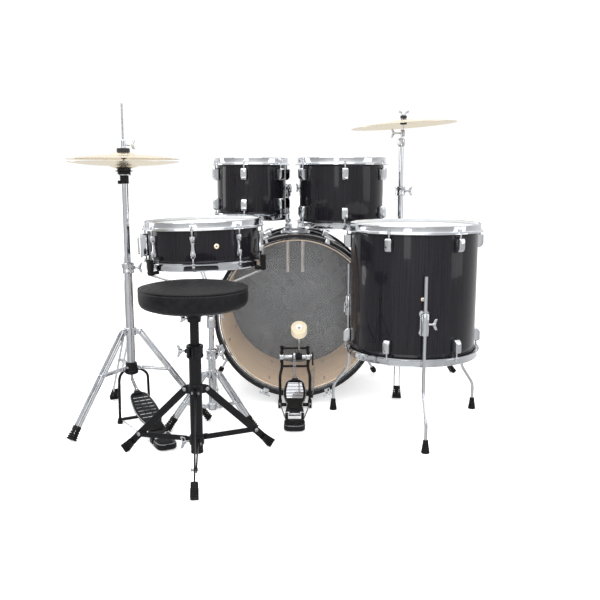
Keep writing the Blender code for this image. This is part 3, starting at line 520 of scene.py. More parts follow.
def clamp_collar(piece, radius, z, bearing, height=0.034, material="chrome"):
    """A split height clamp round a tube: body with lips, ears, a wing bolt and its nut."""
    half, outer = height / 2, radius + 0.0065
    profile = [(radius + 0.0005, half), (outer - 0.0015, half), (outer, half - 0.002),
               (outer, half - 0.008), (outer - 0.0012, half - 0.01), (outer - 0.0012, -half + 0.01),
               (outer, -half + 0.008), (outer, -half + 0.002), (outer - 0.0015, -half),
               (radius + 0.0005, -half)]
    piece.ring(material, profile, at(0, 0, z))
    for side in (-0.0045, 0.0045):
        place = slab(polar(outer + 0.004, bearing + 78, z, side), polar(1.0, bearing + 78),
                     polar(1.0, bearing - 12))
        piece.block(material, (0.016, 0.0045, height * 0.78), place, 0.0015)
    start = polar(radius, bearing, z)
    wing_bolt(piece, start, polar(radius + 0.029, bearing, z), UP, 0.034)
    piece.lathe(material, [(0.0, 0.006), (0.0062, 0.005), (0.0072, 0.0), (0.0, 0.0)],
                aim(polar(outer - 0.001, bearing, z), polar(outer + 0.01, bearing, z)), 6)


def strap(piece, start, end, across, width, thickness, material="chrome"):
    """A pressed steel strap with round ends and a rolled rib down its middle."""
    start, end = Vector(start), Vector(end)
    length = (end - start).length
    outline = arc_points(length / 2, 0, width / 2, -90, 90, 8)
    outline += arc_points(-length / 2, 0, width / 2, 90, 270, 8)
    side = Vector(across).normalized()
    axes = basis((end - start).normalized(), side.cross(end - start).normalized(), side)
    place = at(*((start + end) / 2)) @ axes
    piece.prism(material, outline, thickness, place, thickness * 0.4, 2)
    rib = [start.lerp(end, t) + side * thickness * 0.35 for t in (0.08, 0.92)]
    piece.tube(material, rib, thickness * 0.75, 10)


def rivet(piece, centre, across, half, radius=0.0035, material="chrome"):
    """A headed pin through a joint, along the across direction."""
    centre, across = Vector(centre), Vector(across).normalized()
    piece.rod(material, centre - across * half, centre + across * half, radius, 14)
    for side in (-1, 1):
        end = centre + across * half * side
        dome = [(0.0, radius * 0.7), (radius, radius * 0.55), (radius * 1.7, 0.0), (0.0, 0.0)]
        piece.lathe(material, dome, aim(end, end + across * side), 16)


def rubber_foot(piece, tip, along, across, length, width, thick):
    """A ribbed rubber shoe over the end of a double-strap leg; the tip is its outer end."""
    tip, along, across = Vector(tip), Vector(along).normalized(), Vector(across).normalized()
    axes = basis(along, across, across.cross(along))
    outline = [(-length, -width * 0.32), (-length * 0.08, -width * 0.45), (0.0, -width * 0.42),
               (0.0, width * 0.42), (-length * 0.08, width * 0.45), (-length, width * 0.32)]
    piece.prism("rubber", outline, thick * 0.8, at(*tip) @ axes, thick * 0.12, 3)
    cuff = at(*tip) @ axes @ at(-length * 0.82, 0, 0)
    piece.block("rubber", (length * 0.36, width * 0.78, thick * 0.94), cuff, 0.002)
    for k in range(4):
        x, half = -length * (0.065 + 0.16 * k), width * (0.525 - 0.03 * k)
        piece.block("rubber", (length * 0.105, half * 2, thick * 1.05), at(*tip) @ axes @ at(x, 0, 0),
                    0.0025)


def tripod(piece, angles, hub, reach, low_hub, tube_r, brace_at, low="chrome"):
    """A double-strap tripod about the Z axis: collars, legs, braces, rivets and rubber feet."""
    gap = 0.0085
    foot_length, foot_width, foot_thick = 0.046, 0.032, 0.017
    for z, half, grow, material in ((hub[1], 0.013, 0.0065, "chrome"), (low_hub[1], 0.01, 0.0055, low)):
        outer = tube_r + grow
        profile = [(tube_r, half), (outer - 0.001, half), (outer, half - 0.001), (outer, -half + 0.001),
                   (outer - 0.001, -half), (tube_r, -half)]
        piece.ring(material, profile, at(0, 0, z))
    for angle in angles:
        across = polar(1.0, angle + 90.0)
        tip = Vector((reach, foot_thick / 2))
        for _ in range(6):
            slope = (tip - Vector(hub)).normalized()
            tip.y = foot_thick / 2 * slope.x
        start, end = polar(hub[0], angle, hub[1]), polar(tip.x, angle, tip.y)
        along = (end - start).normalized()
        rubber_foot(piece, end, along, across, foot_length, foot_width, foot_thick)
        for side in (-gap, gap):
            strap(piece, start + across * side, end - along * 0.018 + across * side, across * side,
                  0.0155, 0.0028)
        knee = start.lerp(end, brace_at)
        ankle = polar(low_hub[0], angle, low_hub[1])
        for side in (-gap * 0.42, gap * 0.42):
            strap(piece, ankle + across * side, knee + across * side, across * side, 0.0125, 0.0024)
        rivet(piece, knee, across, gap + 0.003)
        rivet(piece, start, across, gap + 0.003)
        rivet(piece, ankle, across, gap * 0.42 + 0.0025, 0.003)
        for (radial, z), width, height in ((hub, 0.0105, 0.02), (low_hub, 0.005, 0.014)):
            inner = tube_r + 0.003
            place = slab(polar((inner + radial + 0.004) / 2, angle, z), polar(1.0, angle), across)
            piece.block("chrome", (radial + 0.005 - inner, width, height), place, 0.002)


# ---------------------------------------------------------------- drums

def film(name, body, radius, place, material):
    """A drum head: film with its collar, and the flesh hoop outside the shell."""
    piece = Piece(body, name, place=place)
    profile = [(0.0, 0.0012), (radius - 0.01, 0.0012), (radius + 0.002, 0.0006),
               (radius + 0.0052, -0.0022), (radius + 0.0058, -0.006), (radius + 0.004, -0.006),
               (radius + 0.0034, -0.0022), (radius + 0.0006, 0.0), (radius - 0.01, 0.0005),
               (0.0, 0.0005)]
    piece.lathe(material, profile, sides=ROUND)
    rim = [(radius + 0.0066, -0.0055), (radius + 0.0066, -0.0105), (radius + 0.003, -0.0105),
           (radius + 0.003, -0.0055)]
    piece.ring("steel", rim, sides=ROUND)
    return piece.finish(name.replace("_head", "_film"))


HOOP = [(0.0046, 0.0098), (0.0062, 0.0112), (0.0092, 0.0108), (0.0104, 0.0092), (0.009, 0.0086),
        (0.008, 0.008), (0.008, -0.0062), (0.0094, -0.0088), (0.012, -0.0108), (0.0164, -0.0122),
        (0.0166, -0.0148), (0.0118, -0.014), (0.0078, -0.012), (0.006, -0.008), (0.0056, 0.006)]


def steel_hoop(name, body, radius, place, angles, stop):
    """A triple-flanged hoop with an ear, washer and key-headed rod at each lug."""
    piece = Piece(body, name, place=place)
    piece.ring("chrome", [(radius + r, z) for r, z in HOOP], sides=ROUND)
    offset = radius + 0.0125
    ear = arc_points(0.0, 0.0, 0.0068, -75, 75, 8) + arc_points(-0.0075, 0.0, 0.0115, 110, 250, 6)
    for angle in angles:
        spot = at(*polar(offset, angle, 0.0)) @ turn(angle)
        piece.prism("chrome", ear, 0.0026, spot @ at(0, 0, -0.0118), 0.0009)
        piece.lathe("chrome", [(0.0, -0.006), (0.0036, -0.0062), (0.0052, -0.0072), (0.0052, -0.0104),
                               (0.0, -0.0104)], spot, 20)
        piece.block("chrome", (0.0052, 0.0052, 0.0085), spot @ at(0, 0, -0.0028) @ turn(45), 0.0006)
        piece.rod("chrome", polar(offset, angle, -0.01), polar(offset, angle, stop), 0.0027, 14)
    return piece.finish(name)


def lug(piece, radius, angle, z, size, up=1.0):
    """A cast lug: side profile swelling from a rounded tail to a barrel where the rod enters."""
    depth, width, height = size
    half, face = height / 2, depth - 0.003
    profile = [(-0.001, half), (face * 0.62, half)]
    profile += arc_points(face * 0.7, half * 0.66, half * 0.34, 85, 0, 5)
    profile += [(face, half * 0.1)] + arc_points(face * 0.3, -half * 0.3, face * 0.7, 0, -80, 8)
    profile += [(-0.001, -half)]
    outline = [(x, y * up) for x, y in profile]
    if up < 0:
        outline.reverse()
    spot = polar(radius, angle, z)
    axes = basis(polar(1.0, angle), UP, polar(1.0, angle - 90.0))
    piece.prism("chrome", outline, width * 0.8, at(*spot) @ axes, 0.003, 3)
    backing = arc_points(0.0, half - width * 0.42, width * 0.5, 10, 170, 8)
    backing += arc_points(0.0, -half + width * 0.46, width * 0.5, 190, 350, 8)
    piece.prism("rubber", backing, 0.0022, on_wall(radius + 0.0006, angle, z), 0.0006)
    barrel = polar(radius + 0.0125, angle, z + up * half)
    piece.lathe("chrome", [(0.0, 0.0), (0.0058, -0.0012), (0.006, -0.014), (0.0, -0.015)] if up > 0 else
                [(0.0, 0.015), (0.006, 0.014), (0.0058, 0.0012), (0.0, 0.0)], at(*barrel), 24)


def shell_tube(piece, radius, low, high):
    """The ply tube with bevelled bearing edges; the wrap stops at the edge's start."""
    outer, inner = radius, radius - WALL
    profile = [(outer - 0.0022, high), (outer - 0.0002, high - 0.004), (outer, high - 0.0045),
               (outer, low + 0.0045), (outer - 0.0002, low + 0.004), (outer - 0.0022, low),
               (outer - 0.003, low), (inner, low + 0.004)]
    piece.ring("wrap", profile + [(inner, high - 0.004), (outer - 0.003, high)], sides=ROUND)


def vent(piece, radius, angle, z, size):
    """A plain disc badge with its air vent."""
    place = aim(polar(radius - 0.0005, angle, z), polar(radius + 1.0, angle, z))
    piece.ring("badge", [(0.0015, 0.0026), (size * 0.72, 0.0024), (size, 0.0008), (size, 0.0),
                         (0.0015, 0.0)], place, 32)
    piece.ring("chrome", [(0.0016, 0.0034), (0.003, 0.003), (0.0034, 0.002), (0.0016, 0.0018)], place, 20)


def tall_drum(name, body, radius, low, high, centre, angles, badge=None):
    """Shell, lugs, heads and hoops of a tom."""
    place = at(*centre)
    shell = Piece(body, name + "_shell", place=place)
    shell_tube(shell, radius, low, high)
    size = (0.026, 0.026, 0.043)
    for angle in angles:
        lug(shell, radius, angle, high - 0.026 - size[2] / 2, size, 1.0)
        lug(shell, radius, angle, low + 0.026 + size[2] / 2, size, -1.0)
    if badge:
        vent(shell, radius, *badge)
    flip = turn(180, "X")
    film(name + "_batter_head", body, radius, place @ at(0, 0, high), "film_white")
    film(name + "_bottom_head", body, radius, place @ at(0, 0, low) @ flip, "film_white")
    steel_hoop(name + "_top_hoop", body, radius, place @ at(0, 0, high), angles, -0.03)
    mirrored = [-a for a in angles]
    steel_hoop(name + "_bottom_hoop", body, radius, place @ at(0, 0, low) @ flip, mirrored, -0.03)
    return shell


# ---------------------------------------------------------------- bass drum

BASS_ANGLES = [22.5 + 45.0 * k for k in range(8)]
BASS_X = middle("bass_drum_batter_head")[0]


def claw(piece, angle, lug_z):
    """Hook over the wooden hoop with its T-handled rod running to the lug."""
    spot = turn(angle)
    hook = [(BASS_R + 0.006, 0.0235), (BASS_R + 0.006, 0.0265), (BASS_R + 0.02, 0.027),
            (BASS_R + 0.029, 0.024), (BASS_R + 0.031, 0.018), (BASS_R + 0.0308, -0.002),
            (BASS_R + 0.028, -0.0028), (BASS_R + 0.019, -0.002), (BASS_R + 0.0188, 0.0215)]
    upright = Matrix(((1, 0, 0, 0), (0, 0, 1, 0), (0, 1, 0, 0), (0, 0, 0, 1)))
    piece.prism("chrome", hook, 0.022, spot @ upright, 0.0016, 2)
    offset = BASS_R + 0.0255
    piece.rod("chrome", polar(offset, angle, 0.036), polar(offset, angle, lug_z), 0.003, 14)
    piece.lathe("chrome", [(0.0, 0.033), (0.0046, 0.032), (0.0056, 0.028), (0.0056, 0.0255),
                           (0.0, 0.0255)], at(*polar(offset, angle)), 20)
    wing = [polar(offset, angle, 0.0355, s) for s in (-0.0175, -0.01, 0.0, 0.01, 0.0175)]
    piece.tube("chrome", wing, 0.003, 12)
    for end in (wing[0], wing[-1]):
        piece.ball("chrome", end, 0.004, 14)


def bass_hoop(name, place, lug_z):
    piece = Piece("root", name, place=place)
    outer, inner, lip = BASS_R + 0.0176, BASS_R + 0.0076, BASS_R + 0.0042
    profile = [(outer - 0.002, 0.022), (outer, 0.02), (outer, -0.014), (outer - 0.002, -0.016),
               (inner + 0.001, -0.016), (inner, -0.015), (lip + 0.001, 0.0205), (lip + 0.0025, 0.022)]
    piece.ring("lacquer", profile, sides=ROUND)
    for angle in BASS_ANGLES:
        claw(piece, angle, lug_z)
    return piece.finish(name)


def spur(name, side, place):
    """Telescopic front spur with its rubber tip, pivoting in the bracket."""
    start = polar(BASS_R + 0.018, -35.0 if side > 0 else -145.0, -0.33)
    floor = Vector((start.x + side * 0.075, -BASS_Z + 0.02, start.z - 0.06))
    along = (floor - start).normalized()
    tip = floor + along * 0.014
    piece = Piece(name.replace("bass_drum_", ""), name, place=place)
    piece.rod("chrome", start, start.lerp(floor, 0.62), 0.0072, 24)
    piece.rod("chrome", start, floor, 0.0054, 20)
    piece.lathe("chrome", [(0.0, 0.02), (0.0088, 0.019), (0.0096, 0.016), (0.0096, 0.0), (0.0, 0.0)],
                aim(start.lerp(floor, 0.55), floor), 24)
    piece.lathe("rubber", [(0.0, 0.03), (0.005, 0.029), (0.0105, 0.022), (0.011, 0.008), (0.0085, 0.0),
                           (0.0, 0.0)], aim(tip, start), 24)
    piece.rod("chrome", start + Vector((0, 0, -0.016)), start + Vector((0, 0, 0.016)), 0.0098, 24)
    piece.finish(name)


def spur_bracket(piece, side):
    angle = -35.0 if side > 0 else -145.0
    for z in (-0.0195, 0.0195):
        spot = at(*polar(BASS_R + 0.013, angle, -0.33 + z))
        piece.block("chrome", (0.032, 0.026, 0.006), spot @ turn(angle), 0.002)
    spot = at(*polar(BASS_R + 0.0025, angle, -0.33))
    piece.block("chrome", (0.01, 0.034, 0.056), spot @ turn(angle), 0.003)


def bass_drum():
    place = at(BASS_X, BATTER_EDGE_Y, BASS_Z) @ turn(90, "X")
    shell = Piece("root", "bass_drum_shell", place=place)
    profile = [(BASS_R - 0.0022, 0.0), (BASS_R, -0.0045), (BASS_R, -BASS_DEPTH + 0.0045),
               (BASS_R - 0.0022, -BASS_DEPTH), (BASS_R - 0.0036, -BASS_DEPTH), (BASS_R - 0.0036, 0.0)]
    shell.ring("wrap", profile, sides=ROUND)
    inside = [(BASS_R - 0.0036, -0.0002), (BASS_R - 0.0036, -BASS_DEPTH + 0.0002),
              (BASS_R - WALL, -BASS_DEPTH + 0.004), (BASS_R - WALL, -0.004)]
    shell.ring("birch", inside, sides=ROUND)
    for angle in BASS_ANGLES:
        for z, up in ((-0.078, 1.0), (-BASS_DEPTH + 0.078, -1.0)):
            lug(shell, BASS_R, angle, z, (0.031, 0.028, 0.05), up)
            for shift in (-0.012, 0.012):
                inner = polar(BASS_R - WALL - 0.0004, angle, z + shift)
                screw_head(shell, "steel", aim(inner, polar(0.0, angle, z + shift)), 0.0045, 0.003)
    spur_bracket(shell, 1)
    spur_bracket(shell, -1)
    shell.finish("bass_drum_shell")
    film("bass_drum_batter_head", "root", BASS_R, place, "film_clear")
    front = place @ at(0, 0, -BASS_DEPTH) @ turn(180, "X")
    film("bass_drum_front_head", "root", BASS_R, front, "film_grey")
    bass_hoop("bass_drum_batter_hoop", place, -0.052)
    bass_hoop("bass_drum_front_hoop", front, -0.052)
    spur("bass_drum_spur_left", -1, place)
    spur("bass_drum_spur_right", 1, place)


# ---------------------------------------------------------------- tom holder

MOUNT_X, MOUNT_Y = middle("tom_mount")[0], 0.445


def tom_mount():
    """Cast base on the shell with two clamps, wing bolts and the posts that run into the drum."""
    piece = Piece("root", "tom_mount", place=at(MOUNT_X, MOUNT_Y))
    saddle = BASS_Z + BASS_R + 0.0006
    base = rounded_rectangle(0.112, 0.092, 0.018)
    piece.prism("chrome", base, 0.01, at(0, 0, saddle + 0.005), 0.003, 3)
    piece.prism("rubber", rounded_rectangle(0.114, 0.094, 0.019), 0.002, at(0, 0, saddle + 0.001), 0.0005)
    piece.prism("chrome", rounded_rectangle(0.09, 0.05, 0.014), 0.018, at(0, 0, saddle + 0.017), 0.004, 3)
    for side in (-1, 1):
        x = side * POST_SPREAD
        sleeve = [(0.0, 0.04), (0.0125, 0.04), (0.016, 0.037), (0.0165, 0.03), (0.0165, 0.004),
                  (0.0, 0.004)]
        piece.lathe("chrome", sleeve, at(x, 0, saddle), FINE)
        wing_bolt(piece, (x, -0.012, saddle + 0.024), (x, -0.047, saddle + 0.024), (1, 0, 0), 0.034)
        piece.rod("chrome", (x, 0, 0.448), (x, 0, TILT_Z - 0.034), 0.0075, 32, 0.001)
        memory = [(0.0076, 0.007), (0.0135, 0.006), (0.0135, -0.006), (0.0076, -0.007)]
        piece.ring("chrome", memory, at(x, 0, saddle + 0.05))
        for y in (-0.036, 0.036):
            screw_head(piece, "steel", at(side * 0.046, y, saddle + 0.0098), 0.005, 0.003)
    piece.finish("tom_mount")


def arm_line(post, tom):
    """Unit vector from the post to the tom and the vector across it."""
    line = (Vector((*tom, 0.0)) - Vector((*post, 0.0))).normalized()
    return line, Vector((-line.y, line.x, 0.0))


def tom_arm(name, post, tom):
    """Post clamp with its fork, cross bolt and wing."""
    line, across = arm_line(post, tom)
    piece = Piece(name, name, place=at(*post))
    centre = Vector((0, 0, TILT_Z))
    collar = [(0.0, -0.01), (0.01, -0.01), (0.0122, -0.013), (0.0125, -0.03), (0.011, -0.0335),
              (0.0, -0.0335)]
    piece.lathe("chrome", collar, at(*centre), FINE)
    cheek = arc_points(0.0, 0.004, 0.0105, -10, 190, 10) + [(-0.01, -0.018), (0.01, -0.018)]
    for side in (-0.0095, 0.0095):
        axes = basis(line, UP, line.cross(UP))
        piece.prism("chrome", cheek, 0.0066, at(*(centre + across * side)) @ axes, 0.0018)
    wing_bolt(piece, centre - across * 0.01, centre - across * 0.03, UP, 0.03)
    rivet(piece, centre + across * 0.011, across, 0.002, 0.004)
    piece.finish(name)


def tom_bracket(piece, post, tom, radius):
    """Shell plate with its ratchet tongue, in the tom's own frame."""
    line, across = arm_line(post, tom)
    hinge = Vector((*post, TILT_Z)) - Vector((*tom, 0.0))
    wall = -line * (radius + 0.004) + Vector((0, 0, TILT_Z))
    plane = basis(across, UP, across.cross(UP))
    piece.prism("chrome", rounded_rectangle(0.046, 0.06, 0.008), 0.013, at(*wall) @ plane, 0.003, 3)
    piece.bar("chrome", wall + line * 0.006, hinge, 0.017, 0.0108, across, 0.003)
    piece.rod("chrome", hinge - across * 0.0056, hinge + across * 0.0056, 0.0093, 32, 0.001)
    for z in (-0.022, 0.022):
        spot = wall - line * 0.006 + Vector((0, 0, z))
        screw_head(piece, "steel", aim(spot, spot - line), 0.004, 0.0022)


def rack_tom(name, radius, low, high, post, first):
    centre = middle(name + "_batter_head")
    angles = [first + 60.0 * k for k in range(6)]
    shell = tall_drum(name, name, radius, low, high, centre, angles)
    tom_bracket(shell, post, centre, radius)
    shell.finish(name + "_shell")
    tom_arm(name + "_arm", post, centre)


def rack_toms():
    tom_mount()
    posts = [(MOUNT_X + side * POST_SPREAD, MOUNT_Y) for side in (-1, 1)]
    rack_tom("small_tom", SMALL_R, 0.6705, 0.8735, posts[0], -97.5)
    rack_tom("medium_tom", MEDIUM_R, 0.6435, 0.8735, posts[1], -88.5)


# ---------------------------------------------------------------- floor tom

FLOOR_LEG_ANGLES = (-88.7, 31.3, 151.3)
FLOOR_LEG_R, FLOOR_FOOT_R, LEG_BRACKET_Z = 0.229, 0.298, 0.38


def floor_leg(number, angle, place):
    """Bent leg rod with a flared rubber foot ringed by ribs."""
    upper, lower = FLOOR_LEG_R, FLOOR_FOOT_R - 0.012
    piece = Piece(f"floor_leg_{number}", f"floor_tom_leg_{number}", place=place)
    route = [polar(upper, angle, 0.525), polar(upper, angle, 0.165), polar(lower, angle, 0.092),
             polar(lower, angle, 0.012)]
    piece.tube("chrome", rounded(route, 0.018, 8), 0.0052, 24)
    foot = [(0.0, 0.041), (0.006, 0.041), (0.0082, 0.038), (0.0088, 0.028), (0.0118, 0.008),
            (0.013, 0.003), (0.0124, 0.0), (0.0, 0.0)]
    piece.lathe("rubber", foot, at(*polar(lower, angle)), 32)
    for z in (0.014, 0.02, 0.026):
        ring = 0.0128 - (z - 0.006) * 0.15
        piece.ring("rubber", [(ring - 0.002, z + 0.0012), (ring, z), (ring - 0.002, z - 0.0012)],
                   at(*polar(lower, angle)), 32)
    piece.finish(f"floor_tom_leg_{number}")


def leg_bracket(piece, angle):
    """Flanged plate on the shell, clamp barrel around the leg and a wing nut to its right."""
    z = LEG_BRACKET_Z
    plate = [(-0.01, -0.039), (0.01, -0.039), (0.016, -0.03), (0.012, -0.018), (0.012, 0.018),
             (0.016, 0.03), (0.01, 0.039), (-0.01, 0.039), (-0.016, 0.03), (-0.012, 0.018),
             (-0.012, -0.018), (-0.016, -0.03)]
    piece.prism("chrome", plate, 0.006, on_wall(FLOOR_R + 0.003, angle, z), 0.0015)
    piece.block("chrome", (0.02, 0.018, 0.068), at(*polar(FLOOR_R + 0.014, angle, z)) @ turn(angle),
                0.004, 3)
    sleeve = [(0.0062, 0.034), (0.0105, 0.034), (0.012, 0.031), (0.012, -0.031), (0.0105, -0.034),
              (0.0062, -0.034)]
    piece.ring("chrome", sleeve, at(*polar(FLOOR_LEG_R, angle, z)), 32)
    wing_bolt(piece, polar(FLOOR_LEG_R, angle, z, 0.008), polar(FLOOR_LEG_R, angle, z, 0.032), UP, 0.034)
    for height in (-0.033, 0.033):
        spot = polar(FLOOR_R + 0.0058, angle, z + height)
        screw_head(piece, "steel", aim(spot, spot + polar(1.0, angle)), 0.0038, 0.0022)


def floor_tom():
    centre = middle("floor_tom_batter_head")
    angles = [-118.7 + 60.0 * k for k in range(6)]
    shell = tall_drum("floor_tom", "root", FLOOR_R, 0.2545, 0.6609, centre, angles,
                      (-89.9, 0.452, 0.0055))
    for angle in FLOOR_LEG_ANGLES:
        leg_bracket(shell, angle)
    shell.finish("floor_tom_shell")
    for number, angle in enumerate(FLOOR_LEG_ANGLES, 1):
        floor_leg(number, angle, at(*centre))


# ---------------------------------------------------------------- snare drum

SNARE_XY, SNARE_LOW, SNARE_HIGH = (-0.262, -0.059), 0.545, 0.672
SNARE_TILT_Z, SNARE_TILT = 0.372, -1.5
THROW_ANGLE, BUTT_ANGLE = 192.5, 12.5
SNARE_PLACE = at(*SNARE_XY, SNARE_TILT_Z) @ turn(SNARE_TILT, "Y") @ at(0, 0, -SNARE_TILT_Z)


def bow_tie_lug(piece, radius, angle, z):
    """A slim double-ended lug: two flared ends joined by a narrow waist."""
    outline = []
    for sign in (1, -1):
        outline += [(sign * 0.0045, -sign * 0.006), (sign * 0.005, sign * 0.006),
                    (sign * 0.0082, sign * 0.022), (sign * 0.0082, sign * 0.031),
                    (sign * 0.006, sign * 0.033), (-sign * 0.006, sign * 0.033),
                    (-sign * 0.0082, sign * 0.031), (-sign * 0.0082, sign * 0.022)]
    piece.prism("chrome", outline, 0.012, on_wall(radius + 0.0055, angle, z), 0.0026, 3)
    for side in (-1, 1):
        end = polar(radius + 0.0115, angle, z + side * 0.0235)
        body = [(0.0, 0.0095), (0.0058, 0.0095), (0.0066, 0.0075), (0.0066, -0.0075),
                (0.0058, -0.0095), (0.0, -0.0095)]
        piece.lathe("chrome", body, at(*end), 24)


def throw_off(piece, middle_z):
    """Strainer body with its slide and the butt plate opposite."""
    for bearing, width, height, depth in ((THROW_ANGLE, 0.036, 0.07, 0.024),
                                          (BUTT_ANGLE, 0.034, 0.04, 0.016)):
        place = at(*polar(SNARE_R + depth / 2 - 0.001, bearing, middle_z)) @ turn(bearing)
        piece.block("chrome", (depth, width, height), place, 0.004, 3)
        for y in (-0.008, 0.008):
            low = polar(SNARE_R + depth - 0.003, bearing, middle_z - height / 2 - 0.005, y)
            piece.rod("chrome", low, low + Vector((0, 0, 0.01)), 0.003, 14)
        strap_end = polar(SNARE_R + 0.004, bearing, SNARE_LOW - 0.014)
        piece.bar("rubber", polar(SNARE_R + 0.009, bearing, middle_z - height / 2 + 0.004), strap_end,
                  0.0012, 0.022, polar(1.0, bearing + 90.0), 0.0004)


def snare_wires(piece):
    """The strand of coiled wires under the bottom head with its end plates."""
    line = polar(1.0, BUTT_ANGLE)
    across = polar(1.0, BUTT_ANGLE + 90.0)
    z = SNARE_LOW - 0.0035
    for k in range(16):
        side = across * (0.003 * (k - 7.5))
        piece.tube("steel", [line * -0.15 + side + UP * z, line * 0.15 + side + UP * z], 0.0011, 8)
    for end in (-0.154, 0.154):
        place = slab(line * end + UP * z, line, across)
        piece.block("steel", (0.014, 0.054, 0.0016), place, 0.0006)


def snare():
    middle_z = (SNARE_LOW + SNARE_HIGH) / 2
    shell = Piece("snare", "snare_shell", place=SNARE_PLACE)
    shell_tube(shell, SNARE_R, SNARE_LOW, SNARE_HIGH)
    angles = [-92.7 + 45.0 * k for k in range(8)]
    for angle in angles:
        bow_tie_lug(shell, SNARE_R, angle, middle_z)
    throw_off(shell, middle_z)
    snare_wires(shell)
    vent(shell, SNARE_R, -70.2, middle_z, 0.008)
    shell.finish("snare_shell")
    flip = turn(180, "X")
    film("snare_batter_head", "snare", SNARE_R, SNARE_PLACE @ at(0, 0, SNARE_HIGH), "film_white")
    film("snare_bottom_head", "snare", SNARE_R, SNARE_PLACE @ at(0, 0, SNARE_LOW) @ flip, "film_white")
    stop = -(SNARE_HIGH - middle_z - 0.033) + 0.0005
    steel_hoop("snare_top_hoop", "snare", SNARE_R, SNARE_PLACE @ at(0, 0, SNARE_HIGH), angles, stop)
    steel_hoop("snare_bottom_hoop", "snare", SNARE_R, SNARE_PLACE @ at(0, 0, SNARE_LOW) @ flip,
               [-a for a in angles], stop)
    lever = Piece("snare_lever", "snare_throw_off_lever", place=SNARE_PLACE)
    hinge = polar(SNARE_R + 0.0286, THROW_ANGLE, middle_z - 0.026)
    across = polar(1.0, THROW_ANGLE + 90.0)
    plane = basis(across, UP, across.cross(UP))
    blade = [(-0.006, -0.004), (0.006, -0.004), (0.0055, 0.02), (0.007, 0.046), (0.0045, 0.052),
             (-0.0045, 0.052), (-0.007, 0.046), (-0.0055, 0.02)]
    lever.prism("chrome", blade, 0.0062, at(*hinge) @ plane, 0.0016, 3)
    lever.rod("chrome", hinge - across * 0.01, hinge + across * 0.01, 0.0038, 24)
    lever.finish("snare_throw_off_lever")


# ---------------------------------------------------------------- snare stand

SNARE_STAND_XY = (-0.25, -0.056)
SNARE_LEGS, SNARE_ARMS = (92.0, 212.0, 332.0), (102.5, 222.5, 342.5)


def snare_stand():
    place = at(*SNARE_STAND_XY)
    base = Piece("root", "snare_stand_base", place=place)
    tube = [(0.0105, 0.249), (0.0127, 0.248), (0.0127, 0.048), (0.0105, 0.046)]
    base.ring("chrome", tube)
    base.lathe("rubber", [(0.0, 0.053), (0.0122, 0.052), (0.0125, 0.046), (0.0, 0.045)], sides=FINE)
    clamp_collar(base, 0.0127, 0.236, -15.0)
    tripod(base, SNARE_LEGS, (0.028, 0.171), 0.165, (0.026, 0.06), 0.0127, 0.52)
    base.finish("snare_stand_base")
    z = SNARE_TILT_Z
    upper = Piece("snare_tube", "snare_stand_tube", place=place)
    upper.rod("chrome", (0, 0, 0.112), (0, 0, z - 0.03), 0.0095, 36, 0.001)
    cup = [(0.0, z - 0.016), (0.012, z - 0.016), (0.015, z - 0.02), (0.015, z - 0.044),
           (0.012, z - 0.048), (0.0, z - 0.048)]
    upper.lathe("chrome", cup, sides=FINE)
    for x in (-0.0105, 0.0105):
        cheek = arc_points(0.0, 0.004, 0.013, 0, 180, 10) + [(-0.013, -0.019), (0.013, -0.019)]
        upper.prism("chrome", cheek, 0.0056, at(x, 0, z) @ SIDEWAYS, 0.0016)
    wing_bolt(upper, (0.01, 0, z), (0.04, 0, z), UP, 0.036)
    rivet(upper, (-0.013, 0, z), (1, 0, 0), 0.002, 0.0045)
    upper.finish("snare_stand_tube")
    snare_basket()


def snare_basket():
    """Ratchet hub, adjusting nut and three bent arms with rubber grips."""
    dx, dy = SNARE_STAND_XY[0] - SNARE_XY[0], SNARE_STAND_XY[1] - SNARE_XY[1]
    hub = Vector((dx, dy, SNARE_TILT_Z))
    low = SNARE_LOW - 0.0102
    piece = Piece("snare", "snare_basket", place=SNARE_PLACE)
    piece.prism("chrome", ratchet(0.0125, 0.0012, 24), 0.013, at(*hub) @ SIDEWAYS, 0.0006)
    piece.rod("chrome", hub, hub + Vector((0, 0, 0.075)), 0.0053, 24)
    knob = [(0.0, 0.086), (0.013, 0.085), (0.017, 0.08), (0.018, 0.074), (0.017, 0.066),
            (0.012, 0.06), (0.0, 0.06)]
    piece.lathe("chrome", knob, at(*hub), FINE)
    grip = [(0.0, 0.056), (0.0085, 0.055), (0.0105, 0.05), (0.0105, 0.036), (0.0085, 0.031), (0.0, 0.03)]
    piece.lathe("rubber", grip, at(*hub), 12)
    centre = hub + Vector((0, 0, 0.073))
    for angle in SNARE_ARMS:
        outer = polar(SNARE_R + 0.0245, angle, low - 0.012)
        elbow = polar(SNARE_R - 0.02, angle, low - 0.03)
        tip = outer + Vector((0, 0, 0.036))
        across = polar(1.0, angle + 90.0)
        for side in (-0.0045, 0.0045):
            route = [centre + across * side, elbow + across * side, outer + across * side]
            piece.tube("chrome", rounded(route, 0.02, 6), 0.0034, 14)
        piece.tube("chrome", rounded([elbow.lerp(outer, 0.6), outer, tip], 0.008, 5), 0.0042, 14)
        shelf = slab(polar(SNARE_R + 0.011, angle, low - 0.007), polar(1.0, angle), across)
        piece.block("rubber", (0.026, 0.02, 0.0093), shelf, 0.003, 3)
        post = slab(outer + Vector((0, 0, 0.022)), polar(1.0, angle), across)
        piece.block("rubber", (0.0128, 0.0215, 0.05), post, 0.0042, 3)
        for height in (0.006, 0.018, 0.03, 0.04):
            rib = slab(outer + Vector((0, 0, height)), polar(1.0, angle), across)
            piece.block("rubber", (0.0142, 0.0228, 0.004), rib, 0.0015)
        rivet(piece, centre + (elbow - centre).normalized() * 0.016, across, 0.008, 0.003)
    piece.finish("snare_basket")


# ---------------------------------------------------------------- pedals

